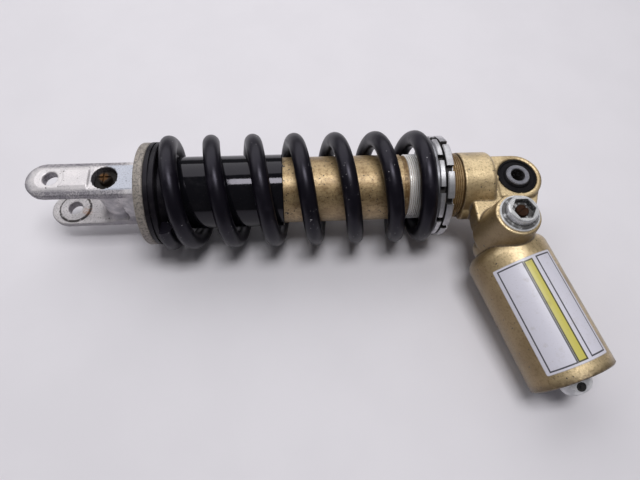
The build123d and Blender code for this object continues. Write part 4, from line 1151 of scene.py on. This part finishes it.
# ---------------------------------------------------------------- label
@dataclass
class ReservoirLabel:
    """Blank film wrapped on the reservoir.

    Its left and right are angles in degrees round the reservoir, counted from a level line that itself
    stands at side_turn degrees from +Y towards +X.
    """

    radius: float = 28.23
    thickness: float = 0.14
    start: float = 59.0
    end: float = 132.0
    left: float = 148.5
    right: float = 58.0
    side_turn: float = 71.5
    corner: float = 1.3
    corner_steps: int = 6
    strips: int = 40

    @property
    def width(self) -> float:
        """Width round the reservoir, in millimetres."""
        return self.radius * math.radians(self.left - self.right)

    @property
    def length(self) -> float:
        """Length along the reservoir, in millimetres."""
        return self.end - self.start

    def flat(self) -> bpy.types.Object:
        """Cuts a flat label with round corners, in strips across its width.

        Returns:
            The flat label, one unit to the millimetre.
        """
        bpy.ops.object.select_all(action="DESELECT")
        bpy.ops.mesh.primitive_plane_add(size=1)
        piece = bpy.context.object
        piece.name = "reservoir_label"
        with editing(piece):
            bpy.ops.transform.resize(value=(self.width, self.length, 1))
            bpy.ops.mesh.bevel(affect="VERTICES", offset=self.corner, segments=self.corner_steps)
            for strip in range(1, self.strips):
                across = self.width * (strip / self.strips - 0.5)
                bpy.ops.mesh.select_all(action="SELECT")
                bpy.ops.mesh.bisect(plane_co=(across, 0, 0), plane_no=(1, 0, 0))
        return piece

    def wrap(self, points: np.ndarray) -> tuple[np.ndarray, np.ndarray]:
        """Finds where the flat label's points lie on the reservoir.

        Args:
            points: Points of the flat label, one row each.

        Returns:
            Their places in metres, and the reservoir's outward direction at each.
        """
        down, turn = np.array(Lathe.RESERVOIR.along), math.radians(self.side_turn)
        side = np.array((math.sin(turn), math.cos(turn), 0.0))
        up = np.cross(down, side)
        across, along = points[:, 0] / self.width + 0.5, points[:, 1] / self.length + 0.5
        angle = np.radians(self.left) - across * math.radians(self.left - self.right)
        outward = np.cos(angle)[:, None] * side + np.sin(angle)[:, None] * up
        station = self.start + along * self.length
        wrapped = outward * self.radius + station[:, None] * down
        return np.array(Lathe.RESERVOIR.point) + MM * wrapped, outward

    def build(self, finish: LabelFilm) -> bpy.types.Object:
        """Wraps the flat label onto the reservoir and gives it its thickness.

        Args:
            finish: The film's finish.

        Returns:
            The finished label.
        """
        piece = self.flat()
        points = places(piece)
        page = piece.data.uv_layers.new(name="print")
        for loop in piece.data.loops:
            across, along, _ = points[loop.vertex_index]
            page.data[loop.index].uv = (across / self.width + 0.5, along / self.length + 0.5)
        wrapped, outward = self.wrap(points)
        move_points(piece, wrapped)
        with editing(piece):
            bpy.ops.mesh.normals_make_consistent(inside=False)
        middle = piece.data.polygons[len(piece.data.polygons) // 2]
        if middle.normal.dot(Vector(outward.mean(axis=0))) < 0:
            piece.data.flip_normals()
        wall = piece.modifiers.new("film", "SOLIDIFY")
        wall.thickness = self.thickness * MM
        wall.offset = 1.0
        bpy.ops.object.modifier_apply(modifier=wall.name)
        soften(piece)
        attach(piece, "damper")
        dress(piece, finish.mix(self.width, self.length))
        return piece


# ---------------------------------------------------------------- finishes of the frame's own nodes
Finish = CastingPaint | TubePaint | FootCasting | TurnedMetal | SpringCoat | BlackPlastic


def metals() -> list[TurnedMetal]:
    """Lists the machined and worn metals.

    Returns:
        The metals, each on the axis that it was turned about.
    """
    pale, grey, steel = tone(250, 250, 252), tone(176, 177, 182), tone(150, 150, 156)
    shock, reservoir = Lathe.SHOCK, Lathe.RESERVOIR
    return [
        TurnedMetal(
            "nut_alloy", shock, tone(208, 207, 210), tone(156, 156, 162),
            roughness=0.36, metal=0.85, scuffs=0.9, dirty=0.4, root=(36.4, -67.0, -57.5),
        ),
        TurnedMetal(
            "adjuster_alloy", Lathe.ADJUSTER, pale, grey,
            roughness=0.3, metal=0.66, scuffs=0.9, dirty=0.35,
            waist=(36.3, 37.3), socket=(8.2, 41.6), socket_dirt_and_shade=0.92,
        ),
        TurnedMetal("cap_alloy", reservoir, pale, grey, roughness=0.46, metal=0.35, scuffs=0.4, dirty=0.25),
        TurnedMetal(
            "rod_chrome", shock, tone(214, 216, 222), grey,
            roughness=0.12, ring_depth=0.002, scuffs=0.2, dirty=0.05,
        ),
        TurnedMetal("washer_steel", shock, steel, tone(96, 95, 98), roughness=0.36, dirty=0.35),
        TurnedMetal(
            "sleeve_steel", Lathe.EYE, tone(150, 150, 158), tone(112, 112, 120),
            roughness=0.42, metal=0.8, dirty=0.15, socket=(5.4, 12.4), socket_dirt_and_shade=0.95,
        ),
        TurnedMetal(
            "screw_steel", Lathe.ADJUSTER, tone(74, 52, 40), tone(40, 28, 24),
            roughness=0.44, scuffs=0.9, dirty=0.7,
        ),
        TurnedMetal("clip_steel", reservoir, tone(104, 98, 92), tone(66, 60, 56), roughness=0.42, dirty=0.5),
        TurnedMetal(
            "rebound_brass", Lathe.REBOUND, tone(104, 76, 50), tone(50, 34, 22),
            roughness=0.46, scuffs=0.9, dirty=0.6, core=3.0,
        ),
        TurnedMetal(
            "pocket_brass", Lathe.REBOUND, tone(20, 14, 10), tone(12, 9, 8),
            roughness=0.6, metal=0.4, dirty=0.7,
        ),
        # painted shade: the gas valve is made near black so that its hole in the cap reads dark
        TurnedMetal(
            "valve_painted_shade", reservoir, tone(16, 14, 13), tone(8, 8, 8),
            roughness=0.6, metal=0.3, dirty=0.6,
        ),
        TurnedMetal("rod_bush_bronze", shock, tone(150, 116, 72), tone(104, 78, 48), roughness=0.35),
    ]


def plastics() -> list[BlackPlastic]:
    """Lists the moulded plastics, the rubber and the foam.

    Returns:
        The finishes, which differ in grain, gloss and dust.
    """
    every_way = (1, 1, 1)
    return [
        BlackPlastic("seat_plastic", roughness=0.42, grain=1.2, grain_depth=0.04, dust=0.35),
        BlackPlastic(
            "gloss_tube_plastic", base=tone(13, 13, 17),
            roughness=0.08, grain=5.0, grain_depth=0.02, dust=0.12, specular=0.32,
        ),
        BlackPlastic(
            "seal_rubber", base=tone(12, 11, 12),
            roughness=0.6, grain=0.8, grain_depth=0.05, dust=0.25, rubs_along=every_way, specular=0.15,
        ),
        BlackPlastic(
            "bump_foam", base=tone(40, 39, 38),
            roughness=0.8, grain=0.7, grain_depth=0.12, dust=0.5, rubs_along=every_way,
        ),
        BlackPlastic(
            "band_plastic", base=tone(104, 80, 58), dusty=tone(70, 52, 38),
            roughness=0.45, dust=0.4,
        ),
    ]


@dataclass
class Finishes:
    """Every finish, made once, and which node wears it."""

    made: dict[str, bpy.types.Material] = field(default_factory=dict)
    by_node: ClassVar[dict[str, str]] = {
        "compression_housing": "adjuster_alloy",
        "compression_adjuster": "adjuster_alloy",
        "compression_valve": "adjuster_alloy",
        "compression_screw": "screw_steel",
        "eye_collar": "sleeve_steel",
        "bearing_shell": "sleeve_steel",
        "needle_rollers": "sleeve_steel",
        "reservoir_clip": "clip_steel",
        "rebound_screw": "rebound_brass",
        "rebound_bush": "pocket_brass",
        "gas_valve_body": "valve_painted_shade",
        "gas_valve_pin": "valve_painted_shade",
        "rod_bush": "rod_bush_bronze",
    }
    by_slot: ClassVar[dict[str, str]] = {
        "gold_paint": "champagne_casting_paint",
        "gold_tube": "champagne_tube",
        "cast_alloy": "bare_foot_casting",
        "bright_alloy": "nut_alloy",
        "pale_alloy": "cap_alloy",
        "spring_paint": "spring_powder_coat",
        "seat_moulding": "seat_plastic",
        "dust_tube_gloss": "gloss_tube_plastic",
        "hard_chrome": "rod_chrome",
        "bearing_steel": "washer_steel",
        "aged_brass": "rod_bush_bronze",
        "seal_rubber": "seal_rubber",
        "bump_rubber": "bump_foam",
        "band_plastic": "band_plastic",
    }

    def mix_all(self) -> None:
        """Makes every finish that nodes wear."""
        painted: list[Finish] = [CastingPaint(), TubePaint(), FootCasting(), SpringCoat()]
        for finish in painted + metals() + plastics():
            self.made[finish.name] = finish.mix()

    def worn_by(self, node: str, slot: str) -> bpy.types.Material:
        """Finds the finish of one of the frame's nodes.

        Args:
            node: The node's name.
            slot: Its material slot, which counts where the node has no finish of its own.

        Returns:
            The finish.
        """
        return self.made[self.by_node.get(node, self.by_slot[slot])]

    def dress_nodes(self, nodes: dict[str, bpy.types.Object], record: dict) -> None:
        """Dresses every node of the frame by the slot that its record names.

        Args:
            nodes: The frame's nodes by name.
            record: The part's record.
        """
        slots = {part["node"]: part["material_slot"] for part in record["subparts"]}
        for name, node in nodes.items():
            dress(node, self.worn_by(name, slots[name]))
            LOG.info("node %s wears %s", name, node.data.materials[0].name)


# ---------------------------------------------------------------- studio
@dataclass(frozen=True)
class Softbox:
    """Soft rectangular lamp aimed at a point."""

    name: str
    place: Triple
    aim: Triple
    width: float
    depth: float
    energy: float

    def hang(self) -> None:
        """Adds the lamp."""
        bpy.ops.object.light_add(type="AREA", location=self.place)
        lamp = bpy.context.object
        lamp.name = self.name
        lamp.data.shape = "RECTANGLE"
        lamp.data.size = self.width
        lamp.data.size_y = self.depth
        lamp.data.energy = self.energy
        beam = Vector(self.aim) - Vector(self.place)
        lamp.rotation_euler = beam.to_track_quat("-Z", "Y").to_euler()


@dataclass
class Studio:
    """Pale floor, soft light and the camera, which looks along forward with down as its lower side."""

    floor_height: float = -0.0415
    floor_size: float = 2.4
    floor_centre: Span = (-0.15, 0.0)
    place: Triple = (-0.17080818, -0.18207974, 0.29901567)
    right: Triple = (0.99733523, -0.05973668, 0.04188036)
    down: Triple = (-0.03626003, -0.90401448, -0.42596131)
    forward: Triple = (0.06330596, 0.42330764, -0.90377154)
    lens: float = 26.2338
    sensor: float = 36.0
    nearest: float = 0.01
    surround: Colour = (0.86, 0.85, 0.88, 1.0)
    surround_strength: float = 0.11
    backdrop_strength: float = 0.8
    lamps: tuple[Softbox, ...] = (
        Softbox("overhead", (-0.08, -0.01, 1.2), (-0.08, -0.01, 0.0), 0.56, 0.34, 8.4),
        Softbox("wall", (-0.6, 1.15, 1.15), (-0.2, 0.0, 0.0), 3.4, 1.5, 25.2),
    )

    def lay_floor(self) -> None:
        """Adds the floor."""
        bpy.ops.object.select_all(action="DESELECT")
        middle = (*self.floor_centre, self.floor_height)
        bpy.ops.mesh.primitive_plane_add(size=self.floor_size, location=middle)
        floor = bpy.context.object
        floor.name = "floor"
        dress(floor, PaleFloor().mix())

    def set_world(self) -> None:
        """Sets an even pale surround that lights the part softly and stands behind it as a backdrop."""
        world = bpy.data.worlds.new("surround")
        world.use_nodes = True
        tree = world.node_tree
        tree.nodes.clear()
        mixed = tree.nodes.new("ShaderNodeMixShader")
        tree.links.new(tree.nodes.new("ShaderNodeLightPath").outputs["Is Camera Ray"], mixed.inputs[0])
        for socket, strength in ((1, self.surround_strength), (2, self.backdrop_strength)):
            shade = tree.nodes.new("ShaderNodeBackground")
            shade.inputs[0].default_value = self.surround
            shade.inputs[1].default_value = strength
            tree.links.new(shade.outputs[0], mixed.inputs[socket])
        tree.links.new(mixed.outputs[0], tree.nodes.new("ShaderNodeOutputWorld").inputs[0])
        bpy.context.scene.world = world

    def set_camera(self) -> None:
        """Stands the camera at its place."""
        bpy.ops.object.camera_add()
        camera = bpy.context.object
        columns = (Vector(self.right), -Vector(self.down), -Vector(self.forward), Vector(self.place))
        rows = [tuple(column[row] for column in columns) for row in range(3)]
        camera.matrix_world = Matrix((*rows, (0, 0, 0, 1)))
        camera.data.sensor_width = self.sensor
        camera.data.lens = self.lens
        camera.data.clip_start = self.nearest
        bpy.context.scene.camera = camera

    def build(self) -> None:
        """Sets the whole studio up."""
        bpy.context.scene.view_settings.view_transform = "Standard"
        self.lay_floor()
        self.set_world()
        for lamp in self.lamps:
            lamp.hang()
        self.set_camera()


# ---------------------------------------------------------------- the part
def castings() -> list[CastSkin]:
    """Lists the two castings that get soft corners.

    Returns:
        The head and the foot, with the machined edges that stay sharp.
    """
    eye, reservoir = Lathe.EYE, Lathe.RESERVOIR
    head = CastSkin(
        node="head_casting",
        slot="gold_paint",
        body="damper",
        cell=0.88,
        easing=12,
        held=(0.12, 0.6),
        rims=[
            Rim(eye, station=11.0, radius=14.65),
            Rim(eye, station=-11.0, radius=14.65),
            Rim(Lathe.ADJUSTER, station=34.4, radius=12.05),
            Rim(reservoir, station=140.7, radius=24.4),
            Rim(reservoir, station=140.7, radius=27.4),
            Rim(reservoir, station=139.9, radius=28.2),
        ],
    )
    foot = CastSkin(
        node="clevis",
        slot="cast_alloy",
        body="rod_clevis",
        cell=0.62,
        easing=8,
        held=(0.1, 0.45),
        rims=[Rim(Lathe.REBOUND, station=23.3, radius=8.8)],
    )
    return [head, foot]


def report(piece: bpy.types.Object) -> None:
    """Reports a finished piece."""
    LOG.info("piece %s: %d faces", piece.name, len(piece.data.polygons))


def main() -> None:
    """Builds the dressed part in its studio."""
    logging.basicConfig(level=logging.INFO, format="%(name)s: %(message)s")
    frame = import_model()
    finishes = Finishes()
    finishes.mix_all()
    finishes.dress_nodes(frame["nodes"], frame["record"])
    for casting in castings():
        skin = casting.build(frame["nodes"][casting.node])
        dress(skin, finishes.worn_by(casting.node, casting.slot))
        report(skin)
    for length in Spring().build(finishes.made["spring_powder_coat"]):
        report(length)
    report(ReservoirLabel().build(LabelFilm()))
    Studio().build()


if __name__ == "__main__":
    main()
